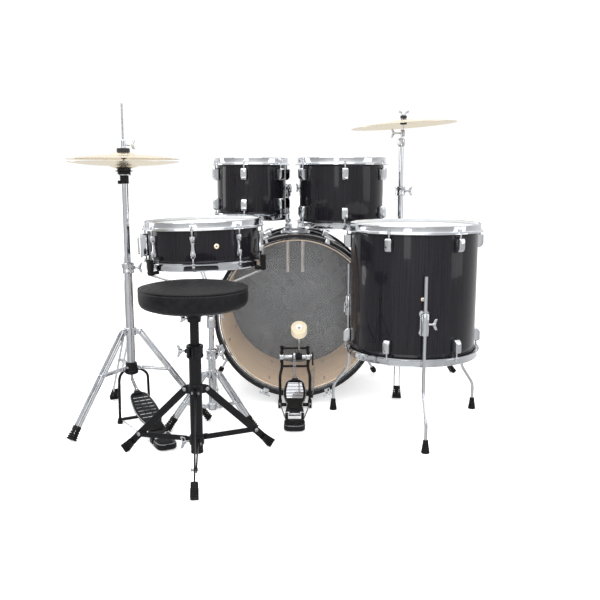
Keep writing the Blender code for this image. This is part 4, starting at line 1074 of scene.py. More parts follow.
def pedal_outline(length, toe, waist, heel):
    """A long footboard seen from above: round toe, narrow waist, wider heel; heel end at x = 0."""
    half, steps = [], 40
    for step in range(steps + 1):
        t = step / steps
        swell = math.sin(math.pi * min(1.0, max(0.0, (t - 0.22) / 0.78)) ** 0.8) ** 0.9
        base = heel + (waist - heel) * min(1.0, t / 0.25)
        width = base + (toe - waist) * swell
        if t > 0.9:
            width *= math.sqrt(max(0.12, 1.0 - ((t - 0.9) / 0.1) ** 2))
        half.append((t * length, width / 2))
    return [(x, -y) for x, y in half] + [(x, y) for x, y in reversed(half)]


def width_at(outline, x):
    """Half the outline's width at a place along it."""
    near = min(outline, key=lambda p: abs(p[0] - x) - (0.001 if p[1] > 0 else 0.0))
    return abs(near[1])


def footboard(node, body, hinge, toe, side_place, place, ribs):
    """Black board with raised side rails, silver ribs, hinge barrel and toe clamp."""
    piece = Piece(body, node, place=place)
    run, rise = toe[0] - hinge[0], toe[1] - hinge[1]
    length = math.hypot(run, rise)
    lie = side_place @ at(hinge[0], 0, hinge[1]) @ turn(-math.degrees(math.atan2(rise, run)), "Y")
    outline = pedal_outline(length - 0.022, 0.079, 0.05, 0.062)
    board = lie @ at(0.012, 0, 0.002)
    piece.prism("powder", outline, 0.0048, board, 0.0014)
    edge = [lie @ Vector((x + 0.012, y * 0.975, 0.0046)) for x, y in outline[3:-3]]
    piece.tube("steel", edge, 0.0012, 8)
    one_column = ribs > 8
    start, stop = (0.4, 0.86) if one_column else (0.36, 0.84)
    for k in range(ribs):
        x = (length - 0.022) * (start + (stop - start) * k / (ribs - 1))
        half = width_at(outline, x) * 0.74
        columns = ((-half, -half * 0.42), (-half * 0.3, half * 0.3), (half * 0.42, half))
        if one_column:
            columns = ((-half, half),)
        for low, high in columns:
            route = [lie @ Vector((x + 0.012, y, 0.0048)) for y in (low, high)]
            piece.tube("chrome", route, 0.0019, 10)
    pad = rounded_rectangle(0.052, 0.046, 0.008)
    piece.prism("rubber", pad, 0.003, lie @ at(0.048, 0, 0.005), 0.001)
    heel = lie @ at(0.01, 0, 0.002)
    piece.block("powder", (0.024, 0.036, 0.005), heel, 0.0012)
    clamp = [(-0.012, -0.014), (0.012, -0.008), (0.012, 0.008), (-0.012, 0.014)]
    piece.prism("powder", clamp, 0.0075, lie @ at(length - 0.012, 0, 0.004), 0.0014)
    piece.rod("steel", lie @ Vector((length - 0.006, -0.01, 0.006)),
              lie @ Vector((length - 0.006, 0.01, 0.006)), 0.0022, 12)
    piece.rod("steel", side_place @ Vector((hinge[0], -0.02, hinge[1])),
              side_place @ Vector((hinge[0], 0.02, hinge[1])), 0.0053, 24)
    piece.finish(node)


def heel_plate(piece, side_place, hinge, length, half):
    """Heel plate with a rubber pad, and two ears about the hinge line."""
    back = hinge[0] - 0.009
    middle_x = back - length / 2
    outline = [(p[0], p[1]) for p in rounded_rectangle(length, 2 * half, min(half * 0.8, 0.022))]
    piece.prism("powder", outline, 0.017, side_place @ at(middle_x, 0, 0.0125), 0.003, 3)
    pad = rounded_rectangle(length * 0.66, half * 1.35, 0.012)
    piece.prism("rubber", pad, 0.003, side_place @ at(middle_x, 0, 0.0212), 0.001)
    edge = [side_place @ Vector((middle_x + x * 0.93, y * 0.93, 0.0212)) for x, y in outline]
    piece.tube("steel", edge, 0.001, 8, closed=True)
    for lateral in (-0.0265, 0.0265):
        ear = side_place @ at(hinge[0] - 0.006, lateral, hinge[1] - 0.006)
        piece.block("powder", (0.026, 0.0096, 0.024), ear, 0.002)
        spot = side_place @ Vector((hinge[0], lateral * 1.19, hinge[1]))
        piece.rod("steel", spot, side_place @ Vector((hinge[0], lateral * 1.24, hinge[1])), 0.004, 18)


def chain(piece, start, end, width=0.0072, pitch=0.0085):
    """A roller chain: side plates and rollers along a line."""
    start, end = Vector(start), Vector(end)
    count = max(3, round((end - start).length / pitch))
    along = (end - start).normalized()
    across = along.cross(Vector((0, 1, 0))).normalized() if abs(along.y) < 0.9 else Vector((1, 0, 0))
    for k in range(count):
        here, there = start.lerp(end, k / count), start.lerp(end, (k + 1) / count)
        piece.rod("steel", here - across * width / 2, here + across * width / 2, 0.0024, 12)
        offset = width / 2 + (0.0004 if k % 2 else 0.0016)
        for side in (-offset, offset):
            strap(piece, here + across * side, there + across * side, across * side, 0.0076, 0.001,
                  "steel")


# ---------------------------------------------------------------- hi-hat

HIHAT_XY, HIHAT_R, HIHAT_RIM_Z, HIHAT_GAP = (-0.5255, -0.022), 0.178, 0.864, 0.008
HIHAT_HINGE, HIHAT_TOE = (0.268, 0.025), 0.042


def cymbal(piece, radius, rise, bell, hole, place, thickness=0.0014):
    """A lathed disc: thin bow, taper to the rim and a raised bell."""
    upper, steps = [], 26
    for step in range(steps + 1):
        t = step / steps
        r = bell + (radius - bell) * t
        upper.append((r, rise * 0.9 * math.cos(math.pi / 2 * t ** 1.15) * 0.94))
    bell_points = []
    top = upper[0][1]
    for step in range(10):
        angle = math.radians(90 * step / 9)
        bell_points.append((hole + (bell - hole) * math.sin(angle),
                            top + 0.0105 * (1 + math.cos(2 * angle)) / 2))
    surface = bell_points + upper[1:]
    under = [(r, z) for r, z in reversed(surface)]
    over = [(r, z + thickness * (1.0 - 0.4 * r / radius)) for r, z in surface]
    piece.ring("bronze", over + under, place, ROUND)


def hihat_frame(base, walk):
    """Pedal frame: casting, bent side rods with feet, cross bar and radius rods."""
    casting = [(0.0045, 0.202), (0.015, 0.202), (0.0185, 0.199), (0.0185, 0.176), (0.0225, 0.172),
               (0.0225, 0.164), (0.016, 0.16), (0.0045, 0.16)]
    base.ring("powder", casting)
    for side in (-1, 1):
        route = [(0.004, side * 0.008, 0.178), (0.01, side * 0.03, 0.176), (0.02, side * 0.049, 0.16),
                 (0.02, side * 0.052, 0.006)]
        base.tube("powder", rounded([walk @ Vector(p) for p in route], 0.014, 6), 0.0045, 20)
        foot = [(0.0, 0.018), (0.006, 0.018), (0.0085, 0.01), (0.009, 0.0), (0.0, 0.0)]
        base.lathe("rubber", foot, walk @ at(0.02, side * 0.052), 24)
        heel = walk @ Vector((HIHAT_HINGE[0] + 0.02, side * 0.025, 0.012))
        base.tube("chrome", [walk @ Vector((0.018, side * 0.048, 0.012)), heel], 0.0024, 12)
        spot = walk @ Vector((0.016, side * 0.018, 0.186))
        screw_head(base, "steel", aim(spot, spot + (walk @ Vector((1.0, side * 0.4, 0.0)))), 0.0042,
                   0.003)
    base.block("powder", (0.012, 0.1, 0.009), walk @ at(0.02, 0, 0.013), 0.002)


def hihat():
    place = at(*HIHAT_XY)
    walk = turn(-60.0)
    base = Piece("root", "hihat_stand_base", place=place)
    base.ring("chrome", [(0.0118, 0.534), (0.0142, 0.533), (0.0142, 0.196), (0.0118, 0.196)])
    clamp_collar(base, 0.0142, 0.52, 10.0)
    tripod(base, (-124.0, -2.0, 118.0), (0.034, 0.307), 0.262, (0.036, 0.184), 0.0142, 0.42, low="powder")
    hihat_frame(base, walk)
    toward = walk @ at(HIHAT_HINGE[0], 0, 0) @ turn(180) @ at(-HIHAT_HINGE[0], 0, 0)
    heel_plate(base, toward, HIHAT_HINGE, 0.072, 0.031)
    base.finish("hihat_stand_base")
    hihat_upper(place)
    toe = (2 * HIHAT_HINGE[0] - HIHAT_TOE, 0.11)
    footboard("hihat_footboard", "hihat_footboard", HIHAT_HINGE, toe, toward, place, 7)


def hihat_upper(place):
    """Upper tube with its seat, both cymbals, felts, clutch, pull rod and the chain below it."""
    tube = Piece("hihat_tube", "hihat_upper_tube", place=place)
    tube.ring("chrome", [(0.0045, 0.826), (0.0108, 0.826), (0.011, 0.824), (0.011, 0.332),
                         (0.0104, 0.33), (0.0045, 0.33)])
    seat = [(0.028, 0.836), (0.0276, 0.834), (0.0208, 0.8325), (0.0208, 0.822), (0.0045, 0.822),
            (0.0045, 0.8325)]
    tube.ring("powder", seat)
    rim = [(0.004, 0.824), (0.0222, 0.824), (0.0226, 0.8226), (0.0222, 0.8212), (0.004, 0.8212)]
    tube.ring("chrome", rim)
    collar = [(0.011, 0.8212), (0.0135, 0.8212), (0.014, 0.82), (0.014, 0.796), (0.013, 0.7945),
              (0.011, 0.7945)]
    tube.ring("powder", collar)
    tube.block("powder", (0.01, 0.009, 0.011), at(-0.0145, -0.006, 0.799), 0.0015)
    tube.ring("felt_black", [(0.0045, 0.842), (0.02, 0.842), (0.022, 0.8395), (0.022, 0.8345),
                             (0.02, 0.8328), (0.0045, 0.8328)])
    tube.finish("hihat_upper_tube")
    lower = Piece("hihat_tube", "hihat_bottom_cymbal", place=place)
    cymbal(lower, HIHAT_R, 0.0135, 0.048, 0.006, at(0, 0, HIHAT_RIM_Z) @ turn(180, "X"))
    lower.finish("hihat_bottom_cymbal")
    upper = Piece("hihat_clutch", "hihat_top_cymbal", place=place)
    cymbal(upper, HIHAT_R, 0.0135, 0.048, 0.006, at(0, 0, HIHAT_RIM_Z + HIHAT_GAP))
    for z, height, radius in ((0.891, 0.016, 0.0208), (0.879, 0.006, 0.0185)):
        felt = [(0.0038, height), (radius - 0.002, height), (radius, height - 0.002), (radius, 0.002),
                (radius - 0.002, 0.0), (0.0038, 0.0)]
        upper.ring("felt_black", felt, at(0, 0, z))
    barrel = [(0.0038, 0.933), (0.007, 0.933), (0.008, 0.9315), (0.008, 0.911), (0.0105, 0.9095),
              (0.0105, 0.9072), (0.0038, 0.9072)]
    upper.ring("chrome", barrel)
    upper.ring("chrome", [(0.0038, 0.8785), (0.0095, 0.878), (0.01, 0.873), (0.0038, 0.872)], sides=12)
    wing_bolt(upper, (0.008, 0, 0.918), (0.034, 0, 0.918), UP, 0.03)
    upper.finish("hihat_top_cymbal")
    rod = Piece("hihat_rod", "hihat_pull_rod", place=place)
    rod.rod("steel", (0, 0, 0.141), (0, 0, 1.047), 0.003, 24, 0.001)
    rod.lathe("steel", [(0.0, 0.172), (0.004, 0.171), (0.004, 0.146), (0.0, 0.144)], sides=6)
    toe = turn(-60.0) @ Vector((HIHAT_TOE + 0.004, 0, 0.118))
    chain(rod, (0, 0, 0.143), toe, 0.0046, 0.0075)
    rod.finish("hihat_pull_rod")


# ---------------------------------------------------------------- cymbal stand

CYMBAL_STAND_XY, CYMBAL_R = (0.436, 0.4856), 0.203
CYMBAL_TILT_Z, CYMBAL_BELL_Z, STEM_X = 0.983, 1.029, 0.0068


def cymbal_stand():
    place = at(*CYMBAL_STAND_XY)
    base = Piece("root", "cymbal_stand_base", place=place)
    base.ring("chrome", [(0.0105, 0.777), (0.013, 0.776), (0.013, 0.091), (0.0105, 0.09)])
    base.lathe("rubber", [(0.0, 0.098), (0.0126, 0.097), (0.0128, 0.089), (0.0, 0.088)], sides=FINE)
    clamp_collar(base, 0.013, 0.762, 0.0)
    tripod(base, (-97.0, 23.0, 143.0), (0.032, 0.33), 0.277, (0.032, 0.14), 0.013, 0.5)
    base.finish("cymbal_stand_base")
    z = CYMBAL_TILT_Z
    tube = Piece("cymbal_tube", "cymbal_stand_tube", place=place)
    tube.rod("chrome", (0, 0, 0.561), (0, 0, z - 0.03), 0.0095, 36, 0.001)
    cup = [(0.0, z - 0.02), (0.011, z - 0.02), (0.014, z - 0.024), (0.014, z - 0.046),
           (0.0115, z - 0.05), (0.0, z - 0.05)]
    tube.lathe("chrome", cup, sides=FINE)
    cheek = arc_points(0.0, 0.003, 0.012, 0, 180, 10) + [(-0.011, -0.026), (0.011, -0.026)]
    tube.prism("chrome", cheek, 0.005, at(-0.0002, 0, z) @ SIDEWAYS, 0.0014)
    wing_bolt(tube, (-0.002, 0, z), (-0.036, 0, z), UP, 0.034)
    tube.finish("cymbal_stand_tube")
    tilter = Piece("cymbal_tilter", "cymbal_tilter", place=place)
    tilter.prism("chrome", ratchet(0.013, 0.001, 30), 0.0086, at(0.0071, 0, z) @ SIDEWAYS, 0.0008)
    tilter.rod("chrome", (STEM_X, 0, z), (STEM_X, 0, 1.064), 0.0031, 20)
    washer = [(0.0, 1.0165), (0.012, 1.0165), (0.0125, 1.015), (0.0, 1.0145)]
    tilter.lathe("steel", washer, at(STEM_X, 0, 0), FINE)
    for low, high, radius in ((1.0165, 1.0285, 0.0135), (1.038, 1.05, 0.0125)):
        felt = [(0.0032, high), (radius - 0.0025, high), (radius, high - 0.0025), (radius, low + 0.0025),
                (radius - 0.0025, low), (0.0032, low)]
        tilter.ring("felt_black", felt, at(STEM_X, 0, 0))
    tilter.lathe("chrome", [(0.0, 1.06), (0.006, 1.059), (0.0085, 1.054), (0.0085, 1.0505),
                            (0.0, 1.0505)], at(STEM_X, 0, 0), 24)
    for side in (-1, 1):
        wing = [(0.004, 0.0), (0.019, 0.006), (0.0205, 0.013), (0.015, 0.0155), (0.005, 0.007)]
        plane = Matrix(((side, 0, 0, STEM_X), (0, 0, 1, 0), (0, 1, 0, 1.0545), (0, 0, 0, 1)))
        tilter.prism("chrome", wing, 0.0042, plane, 0.0014)
    tilter.finish("cymbal_tilter")
    tilted = place @ at(STEM_X, 0, CYMBAL_BELL_Z) @ turn(-4.0, "Y") @ at(0, 0, -0.018)
    crash = Piece("crash", "crash_cymbal", place=tilted)
    cymbal(crash, CYMBAL_R, 0.015, 0.055, 0.0075, Matrix())
    crash.finish("crash_cymbal")


# ---------------------------------------------------------------- throne

THRONE_XY = (-0.252, -0.425)
THRONE_ANGLES = (-84.0, 36.0, 156.0)
LEG_PIVOT, FOOT_R, BRACE_ALONG, COLLAR_PIVOT = (0.033, 0.221), 0.2648, 0.228, (0.036, 0.075)


def leg_geometry():
    """Leg length and its unit direction (outward, down)."""
    out, drop = FOOT_R - LEG_PIVOT[0], LEG_PIVOT[1]
    length = math.hypot(out, drop)
    return length, Vector((out / length, -drop / length))


def along_leg(angle, distance):
    _, direction = leg_geometry()
    return polar(LEG_PIVOT[0] + direction.x * distance, angle, LEG_PIVOT[1] + direction.y * distance)


def throne_leg(number, angle, place):
    """Flat bar leg with pivot screws and a ribbed, fan-shaped rubber foot."""
    length, direction = leg_geometry()
    piece = Piece(f"throne_leg_{number}", f"throne_leg_{number}", place=place)
    across = polar(1.0, angle + 90.0)
    depth = 0.027
    start = along_leg(angle, 0.0)
    sole = along_leg(angle, length + depth / 2 * direction.x / direction.y)
    along = (sole - start).normalized()
    piece.bar("powder", start - along * 0.004, sole - along * 0.014, 0.0215, 0.004, across, 0.0014)
    rubber_foot(piece, sole, along, across.cross(along), 0.042, depth, 0.021)
    rivet(piece, start, across, 0.009, 0.0034, "steel")
    rivet(piece, along_leg(angle, BRACE_ALONG), across, 0.0072, 0.0036, "steel")
    piece.finish(f"throne_leg_{number}")


def throne_brace(number, angle, place):
    piece = Piece(f"throne_brace_{number}", f"throne_brace_{number}", place=place)
    across = polar(1.0, angle + 90.0)
    start = polar(COLLAR_PIVOT[0], angle, COLLAR_PIVOT[1]) + across * 0.0044
    end = along_leg(angle, BRACE_ALONG) + across * 0.0044
    along = (end - start).normalized()
    piece.bar("powder", start - along * 0.007, end + along * 0.005, 0.016, 0.0036, across, 0.0012)
    piece.finish(f"throne_brace_{number}")


def pivot_ears(piece, angle, pivot, inner, laterals, height):
    """Ears round a pivot, each with its rounded end."""
    reach = pivot[0] + 0.007 - inner
    outline = [(0.0, -height / 2), (reach - height * 0.45, -height / 2)]
    outline += arc_points(reach - height * 0.45, 0.0, height / 2, -80, 80, 8)
    outline += [(reach - height * 0.45, height / 2), (0.0, height / 2)]
    axes = basis(polar(1.0, angle), UP, polar(1.0, angle - 90.0))
    for lateral in laterals:
        spot = at(*polar(inner, angle, pivot[1], lateral))
        piece.prism("powder", outline, 0.0038, spot @ axes, 0.0012)


def throne_stand():
    place = at(*THRONE_XY)
    base = Piece("throne_base", "throne_base_tube", place=place)
    base.ring("powder", [(0.0134, 0.349), (0.0175, 0.348), (0.0175, 0.038), (0.0134, 0.037)])
    collar = [(0.0175, 0.24), (0.019, 0.24), (0.0207, 0.237), (0.0207, 0.215), (0.019, 0.212),
              (0.0175, 0.212)]
    base.ring("powder", collar)
    base.ring("rubber", [(0.0136, 0.046), (0.0177, 0.045), (0.0177, 0.037), (0.0136, 0.0365)])
    clamp_collar(base, 0.0175, 0.334, 180.0, 0.036, "powder")
    for angle in THRONE_ANGLES:
        pivot_ears(base, angle, LEG_PIVOT, 0.019, (-0.0046, 0.0046), 0.024)
    base.finish("throne_base_tube")
    lower = Piece("throne_collar", "throne_lower_collar", place=place)
    z = COLLAR_PIVOT[1]
    ring = [(0.018, z + 0.013), (0.02, z + 0.013), (0.0212, z + 0.011), (0.0212, z - 0.011),
            (0.02, z - 0.013), (0.018, z - 0.013)]
    lower.ring("powder", ring)
    for angle in THRONE_ANGLES:
        pivot_ears(lower, angle, COLLAR_PIVOT, 0.0195, (0.009,), 0.018)
        across = polar(1.0, angle + 90.0)
        rivet(lower, polar(COLLAR_PIVOT[0], angle, z) + across * 0.0082, across, 0.0034, 0.003, "steel")
    wing_bolt(lower, polar(0.0195, 214.0, z), polar(0.046, 214.0, z), UP, 0.034)
    lower.finish("throne_lower_collar")
    for number, angle in enumerate(THRONE_ANGLES, 1):
        throne_leg(number, angle, place)
        throne_brace(number, angle, place)
    post = Piece("throne_post", "throne_post", place=place)
    tube = [(0.0, 0.432), (0.0128, 0.432), (0.0128, 0.192), (0.012, 0.19), (0.0, 0.19)]
    post.lathe("powder", tube, sides=FINE)
    flange = [(0.0, 0.4535), (0.0595, 0.4535), (0.06, 0.4515), (0.05, 0.444), (0.032, 0.4385),
              (0.02, 0.432), (0.0185, 0.418), (0.0128, 0.417), (0.0, 0.417)]
    post.lathe("powder", flange, sides=FINE)
    wing_bolt(post, (-0.016, 0, 0.4265), (-0.036, 0, 0.4265), UP, 0.022)
    post.finish("throne_post")


def even_mesh(obj, size):
    """The object's mesh rebuilt in even cells of a size."""
    remesh = obj.modifiers.new("even", "REMESH")
    remesh.mode = "VOXEL"
    remesh.voxel_size = size
    settle(obj)


def settle(obj):
    """Applies the object's modifiers to its mesh."""
    evaluated = obj.evaluated_get(bpy.context.evaluated_depsgraph_get())
    old, obj.data = obj.data, bpy.data.meshes.new_from_object(evaluated)
    obj.modifiers.clear()
    bpy.data.meshes.remove(old)


# The cover's held seam: the least radius it has and half its height; then its pressure and frames
SEAM_R, SEAM_HALF, COVER_PRESSURE, FILL_FRAMES = 0.14, 0.0035, 4.0, 20


def inflate(obj, seam_z, base_z, cap):
    """Fills the cover by Cloth pressure, held at the seam and the base board, to at most the cap."""
    rest = [v.co.copy() for v in obj.data.vertices]
    held = obj.vertex_groups.new(name="held")
    for v in obj.data.vertices:
        radius = math.hypot(v.co.x, v.co.y)
        if v.co.z < base_z or (radius > SEAM_R and abs(v.co.z - seam_z) < SEAM_HALF):
            held.add([v.index], 1.0, "REPLACE")
    cloth = obj.modifiers.new("fill", "CLOTH")
    cloth.settings.use_pressure = True
    cloth.settings.uniform_pressure_force = COVER_PRESSURE
    cloth.settings.effector_weights.gravity = 0.0
    cloth.settings.vertex_group_mass = "held"
    cloth.point_cache.frame_end = FILL_FRAMES
    for number in range(1, FILL_FRAMES + 1):
        bpy.context.scene.frame_set(number)
    settle(obj)
    for v, start in zip(obj.data.vertices, rest):
        move = v.co - start
        if move.length > cap:
            v.co = start + move.normalized() * cap
    bpy.context.scene.frame_set(1)


def cushion():
    """Round padded seat: foam under vinyl with a corded seam round its top edge."""
    place = at(*THRONE_XY)
    seam_z, base_z = 0.514, 0.4585
    outline = Piece("throne_seat", place=place)
    crown = [(0.0, 0.527), (0.06, 0.5262), (0.105, 0.524), (0.132, 0.521), (0.1445, 0.518)]
    side = [(0.149, seam_z), (0.1515, 0.506), (0.152, 0.488), (0.15, 0.474), (0.144, 0.464),
            (0.13, 0.459), (0.105, 0.457), (0.0, 0.456)]
    outline.lathe("vinyl", crown + side, sides=96)
    seat = outline.finish("throne_cushion_cover")[0]
    even_mesh(seat, 0.005)
    seat.parent = None
    inflate_at(seat, seam_z, base_z)
    smooth = seat.modifiers.new("smooth", "SUBSURF")
    smooth.levels = smooth.render_levels = 1
    settle(seat)
    seat.data.materials.clear()
    seat.data.materials.append(MATERIALS["vinyl"])
    seat.data.shade_smooth()
    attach(seat, "throne_seat")
    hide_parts("throne_cushion")
    trim = Piece("throne_seat", place=place)
    cord = [polar(0.1498, 360.0 * k / 96, seam_z) for k in range(96)]
    trim.tube("vinyl", cord, 0.0017, 12, closed=True)
    for k in range(120):
        trim.tube("felt_black", [polar(0.1512, 3.0 * k + s, seam_z - 0.005) for s in (0.0, 1.0, 2.0)],
                  0.0007, 6)
    board = [(0.0, 0.4575), (0.118, 0.459), (0.12, 0.457), (0.118, 0.455), (0.0, 0.4545)]
    trim.lathe("powder", board, sides=96)
    trim.finish("throne_cushion_trim")


def inflate_at(seat, seam_z, base_z):
    """Runs the fill with the cushion centred on the origin, then moves it back."""
    offset = Vector((*THRONE_XY, 0.0))
    seat.data.transform(Matrix.Translation(-offset))
    inflate(seat, seam_z, base_z, 0.006)
    seat.data.transform(at(*offset))


# ---------------------------------------------------------------- bass pedal

PEDAL_X, SHAFT, PEDAL_HINGE, PEDAL_TOE = 0.025, (0.116, 0.185), (-0.069, 0.032), (0.096, 0.112)
BEATER_ANGLE, BEATER_REACH, BEATER_OFFSET = 43.5, 0.167, 0.015


def coil(piece, start, end, radius, wire, turns):
    """A tension spring between two points with straight hooks."""
    start, end = Vector(start), Vector(end)
    frame_at = aim(start, end)
    length, steps = (end - start).length, turns * 12
    route = [start]
    for k in range(steps + 1):
        angle = 2 * math.pi * k / 12
        z = length * (0.14 + 0.72 * k / steps)
        route.append(frame_at @ Vector((radius * math.cos(angle), radius * math.sin(angle), z)))
    piece.tube("steel", route + [end], wire, 8)


def pedal_frame(place):
    y, z = SHAFT
    ahead = turn(90)
    piece = Piece("root", "bass_pedal_frame", place=place)
    for side in (-1, 1):
        post = [(side * 0.046, y, 0.222), (side * 0.046, y, 0.145), (side * 0.053, y - 0.012, 0.12),
                (side * 0.053, y - 0.012, 0.006)]
        piece.tube("powder", rounded(post, 0.01, 5), 0.0052, 20)
        piece.rod("powder", (side * 0.046, y, 0.218), (side * 0.046, y, 0.224), 0.0068, 20)
        piece.block("powder", (0.014, 0.02, 0.03), at(side * 0.053, y - 0.012, 0.0155), 0.003)
        piece.block("powder", (0.012, 0.022, 0.044), at(side * 0.047, y, z), 0.004, 3)
        bearing = [(0.0086, 0.007), (0.0125, 0.007), (0.0135, 0.0055), (0.0135, -0.0055),
                   (0.0125, -0.007), (0.0086, -0.007)]
        piece.ring("chrome", bearing, at(side * 0.047, y, z) @ turn(90, "Y"))
        radius_rod = [(side * 0.052, y - 0.014, 0.012), (side * 0.028, PEDAL_HINGE[0] - 0.01, 0.012)]
        piece.tube("chrome", radius_rod, 0.0026, 12)
        screw_head(piece, "steel", at(side * 0.053, y - 0.0225, 0.018) @ turn(90, "X"), 0.004, 0.0025)
    bow = [(-0.046, y, 0.212), (-0.046, y + 0.018, 0.212), (0.046, y + 0.018, 0.212), (0.046, y, 0.212)]
    piece.tube("powder", rounded(bow, 0.01, 5), 0.004, 16)
    piece.rod("powder", (-0.047, y - 0.002, 0.151), (0.047, y - 0.002, 0.151), 0.004, 20)
    piece.block("powder", (0.106, 0.016, 0.01), at(0, y - 0.012, 0.012), 0.002)
    piece.block("powder", (0.044, 0.07, 0.008), at(0, y + 0.03, 0.0135), 0.002)
    piece.block("powder", (0.03, 0.009, 0.038), at(0.006, BATTER_EDGE_Y - 0.0275, 0.029), 0.002)
    piece.block("rubber", (0.02, 0.024, 0.009), at(0.006, BATTER_EDGE_Y - 0.02, 0.0435), 0.002)
    wing_bolt(piece, (0.006, BATTER_EDGE_Y - 0.032, 0.03), (0.006, BATTER_EDGE_Y - 0.052, 0.03),
              (1, 0, 0), 0.03)
    heel_plate(piece, ahead, PEDAL_HINGE, 0.082, 0.035)
    piece.rod("chrome", (0.053, y, z + 0.004), (0.0655, y, z + 0.004), 0.0046, 20)
    rocker = arc_points(0.0, 0.018, 0.0095, 0, 180, 8) + [(-0.006, -0.02), (0.006, -0.02)]
    piece.prism("powder", rocker, 0.0056, at(0.063, y, z - 0.01) @ SIDEWAYS, 0.0014)
    coil(piece, (0.0665, y, z - 0.026), (0.06, y - 0.01, 0.045), 0.0055, 0.0011, 16)
    piece.block("powder", (0.012, 0.012, 0.01), at(0.059, y - 0.011, 0.043), 0.002)
    piece.finish("bass_pedal_frame")


def beater(place):
    """Shaft, cam, beater rod and the felt head."""
    y, z = SHAFT
    piece = Piece("pedal_beater", "bass_pedal_beater", place=place)
    axis, lean = Vector((0, y, z)), math.radians(BEATER_ANGLE)
    up = Vector((0, -math.sin(lean), math.cos(lean)))
    shift = Vector((BEATER_OFFSET, 0, 0))
    centre = axis + shift + up * BEATER_REACH
    side = Vector((1, 0, 0))
    piece.rod("chrome", axis - side * 0.05, axis + side * 0.05, 0.008, 32)
    cam = aim(axis - side * 0.01, axis)
    piece.lathe("powder", [(0.0, 0.015), (0.0165, 0.015), (0.019, 0.014), (0.019, 0.012),
                           (0.015, 0.011), (0.015, 0.004), (0.019, 0.003), (0.019, 0.001),
                           (0.0165, 0.0), (0.0, 0.0)], cam, FINE)
    piece.ring("steel", [(0.0152, 0.0108), (0.017, 0.0108), (0.017, 0.0042), (0.0152, 0.0042)], cam)
    hub = [(0.0, 0.022), (0.011, 0.022), (0.0125, 0.02), (0.0125, 0.002), (0.011, 0.0), (0.0, 0.0)]
    piece.lathe("powder", hub, aim(axis + side * 0.004, axis + side), FINE)
    piece.rod("chrome", axis + shift - up * 0.01, centre + up * 0.0235, 0.0031, 24)
    square = aim(axis + shift - up * 0.0115 - Vector((0, 0.004, 0)), axis + shift)
    piece.block("steel", (0.007, 0.007, 0.01), square, 0.001)
    arc = [0.024 + 0.003 * math.sin(math.radians(a)) for a in (0, 30, 60, 90)]
    rise = [0.0165 - 0.003 * (1 - math.cos(math.radians(a))) for a in (0, 30, 60, 90)]
    rim = list(zip(arc, rise))
    below = [(r, -h) for r, h in reversed(rim)]
    felt = [(0.0033, 0.0165)] + rim + [(0.027, -0.0135)] + below[1:] + [(0.0033, -0.0165)]
    piece.ring("felt_cream", felt, aim(centre, centre + up), 64)
    for low, high, radius, sides in ((0.016, 0.0175, 0.011, 32), (0.0173, 0.021, 0.0058, 6)):
        ring = [(0.0, high), (radius - 0.0004, high), (radius, high - 0.0004), (radius, low), (0.0, low)]
        piece.lathe("steel", ring, aim(centre, centre + up), sides)
    piece.finish("bass_pedal_beater")


def bass_pedal():
    place = at(PEDAL_X, 0)
    pedal_frame(place)
    ahead = turn(90)
    footboard("bass_pedal_footboard", "pedal_footboard", PEDAL_HINGE, PEDAL_TOE, ahead, place, 11)
    beater(place)
    y, z = SHAFT
    links = Piece("root", place=place)
    top, toe = (-0.0025, y - 0.018, z - 0.002), (0.0, PEDAL_TOE[0] - 0.004, PEDAL_TOE[1] + 0.004)
    chain(links, top, toe, 0.0056, 0.008)
    made = links.finish("bass_pedal_chain")[0]
    made.parent = None
    del made["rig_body"]
    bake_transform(made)


# ---------------------------------------------------------------- room, light and camera

def floor():
    work = bmesh.new()
    bmesh.ops.create_circle(work, cap_ends=True, segments=96, radius=30.0)
    mesh = bpy.data.meshes.new("studio_floor")
    work.to_mesh(mesh)
    work.free()
    material, shader = new_material("floor", (0.9, 0.9, 0.9), 0.9, Specular_IOR_Level=0.0)
    tone = noise(material, object_space(material), 0.6, 1.0)
    link(material, ramp(material, tone, (0.89, 0.89, 0.89), (0.91, 0.91, 0.91)),
         shader.inputs["Base Color"])
    shader.inputs["Emission Color"].default_value = (1.0, 1.0, 1.0, 1.0)
    shader.inputs["Emission Strength"].default_value = FLOOR_GLOW
    mesh.materials.append(material)
    obj = bpy.data.objects.new("studio_floor", mesh)
    obj.location.z = -0.0005
    obj.visible_glossy = False
    bpy.context.scene.collection.objects.link(obj)


def area_light(name, location, target, size, radiance):
    """A softbox whose brightness is given as radiance, so its size can change freely."""
    data = bpy.data.lights.new(name, "AREA")
    data.shape = "RECTANGLE"
    data.size, data.size_y = size
    data.energy = radiance * math.pi * size[0] * size[1]
    obj = bpy.data.objects.new(name, data)
    obj.location = location
    obj.rotation_euler = (Vector(target) - Vector(location)).to_track_quat("-Z", "Y").to_euler()
    bpy.context.scene.collection.objects.link(obj)
    return obj


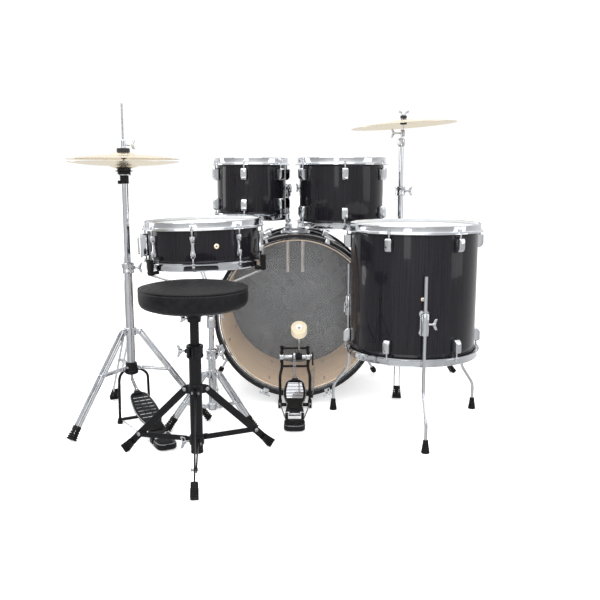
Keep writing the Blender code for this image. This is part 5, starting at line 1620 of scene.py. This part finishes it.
def room_light():
    """White to the eye; for the light itself, bright above and behind and dim in front."""
    world = bpy.data.worlds.new("studio")
    world.use_nodes = True
    bpy.context.scene.world = world
    direction = add_node(world, "ShaderNodeTexCoord")
    axes = add_node(world, "ShaderNodeSeparateXYZ")
    link(world, direction.outputs["Generated"], axes.inputs["Vector"])
    total = None
    for axis, start, stop, amount in ROOM_TERMS:
        term = add_node(world, "ShaderNodeMapRange", interpolation_type="SMOOTHSTEP")
        for key, value in (("From Min", start), ("From Max", stop), ("To Min", 0.0), ("To Max", amount)):
            term.inputs[key].default_value = value
        link(world, axes.outputs[axis], term.inputs["Value"])
        if total is None:
            total = term.outputs["Result"]
            continue
        added = add_node(world, "ShaderNodeMath", operation="ADD")
        link(world, total, added.inputs[0])
        link(world, term.outputs["Result"], added.inputs[1])
        total = added.outputs["Value"]
    path = add_node(world, "ShaderNodeLightPath")
    pick = add_node(world, "ShaderNodeMix")
    link(world, path.outputs["Is Camera Ray"], pick.inputs["Factor"])
    link(world, total, pick.inputs["A"])
    pick.inputs["B"].default_value = 1.02
    background = world.node_tree.nodes["Background"]
    background.inputs["Color"].default_value = (1.0, 1.0, 1.0, 1.0)
    link(world, pick.outputs["Result"], background.inputs["Strength"])


FLOOR_GLOW = 0.42
# Direction axis, where the term starts and is full, and its brightness
ROOM_TERMS = (("Z", -1.0, -0.8, 0.28), ("Z", 0.1, 0.7, 0.5), ("X", -0.95, -0.55, 0.22),
              ("X", 0.55, 0.2, 0.14), ("Y", -0.2, 0.85, 0.25))


def studio():
    floor()
    room_light()
    aim_at = (0.0, 0.0, 0.45)
    area_light("strip_left", (-3.3, 0.9, 1.3), aim_at, (0.9, 2.6), 2.6)
    area_light("soft_right", (3.6, -1.0, 1.5), aim_at, (1.6, 2.4), 1.1)
    area_light("overhead", (-0.4, -0.6, 3.4), aim_at, (3.0, 2.2), 2.2)
    area_light("front_low", (-1.2, -4.6, 1.9), aim_at, (1.0, 1.6), 2.0)
    fill = area_light("front_fill", (0.2, -3.5, 1.7), (0.0, 0.2, 0.3), (3.0, 2.0), 6.0)
    fill.visible_glossy = False
    bpy.context.scene.view_settings.view_transform = "Standard"


def camera():
    data = bpy.data.cameras.new("view")
    data.lens, data.sensor_width = 44.5, 36.0
    obj = bpy.data.objects.new("view", data)
    obj.location = (0.043, -2.454, 0.815)
    obj.rotation_euler = (math.radians(90.0 - 9.4), 0.0, 0.0)
    bpy.context.scene.collection.objects.link(obj)
    bpy.context.scene.camera = obj


camera()
studio()
bass_drum()
rack_toms()
floor_tom()
snare()
snare_stand()
hihat()
cymbal_stand()
throne_stand()
cushion()
bass_pedal()
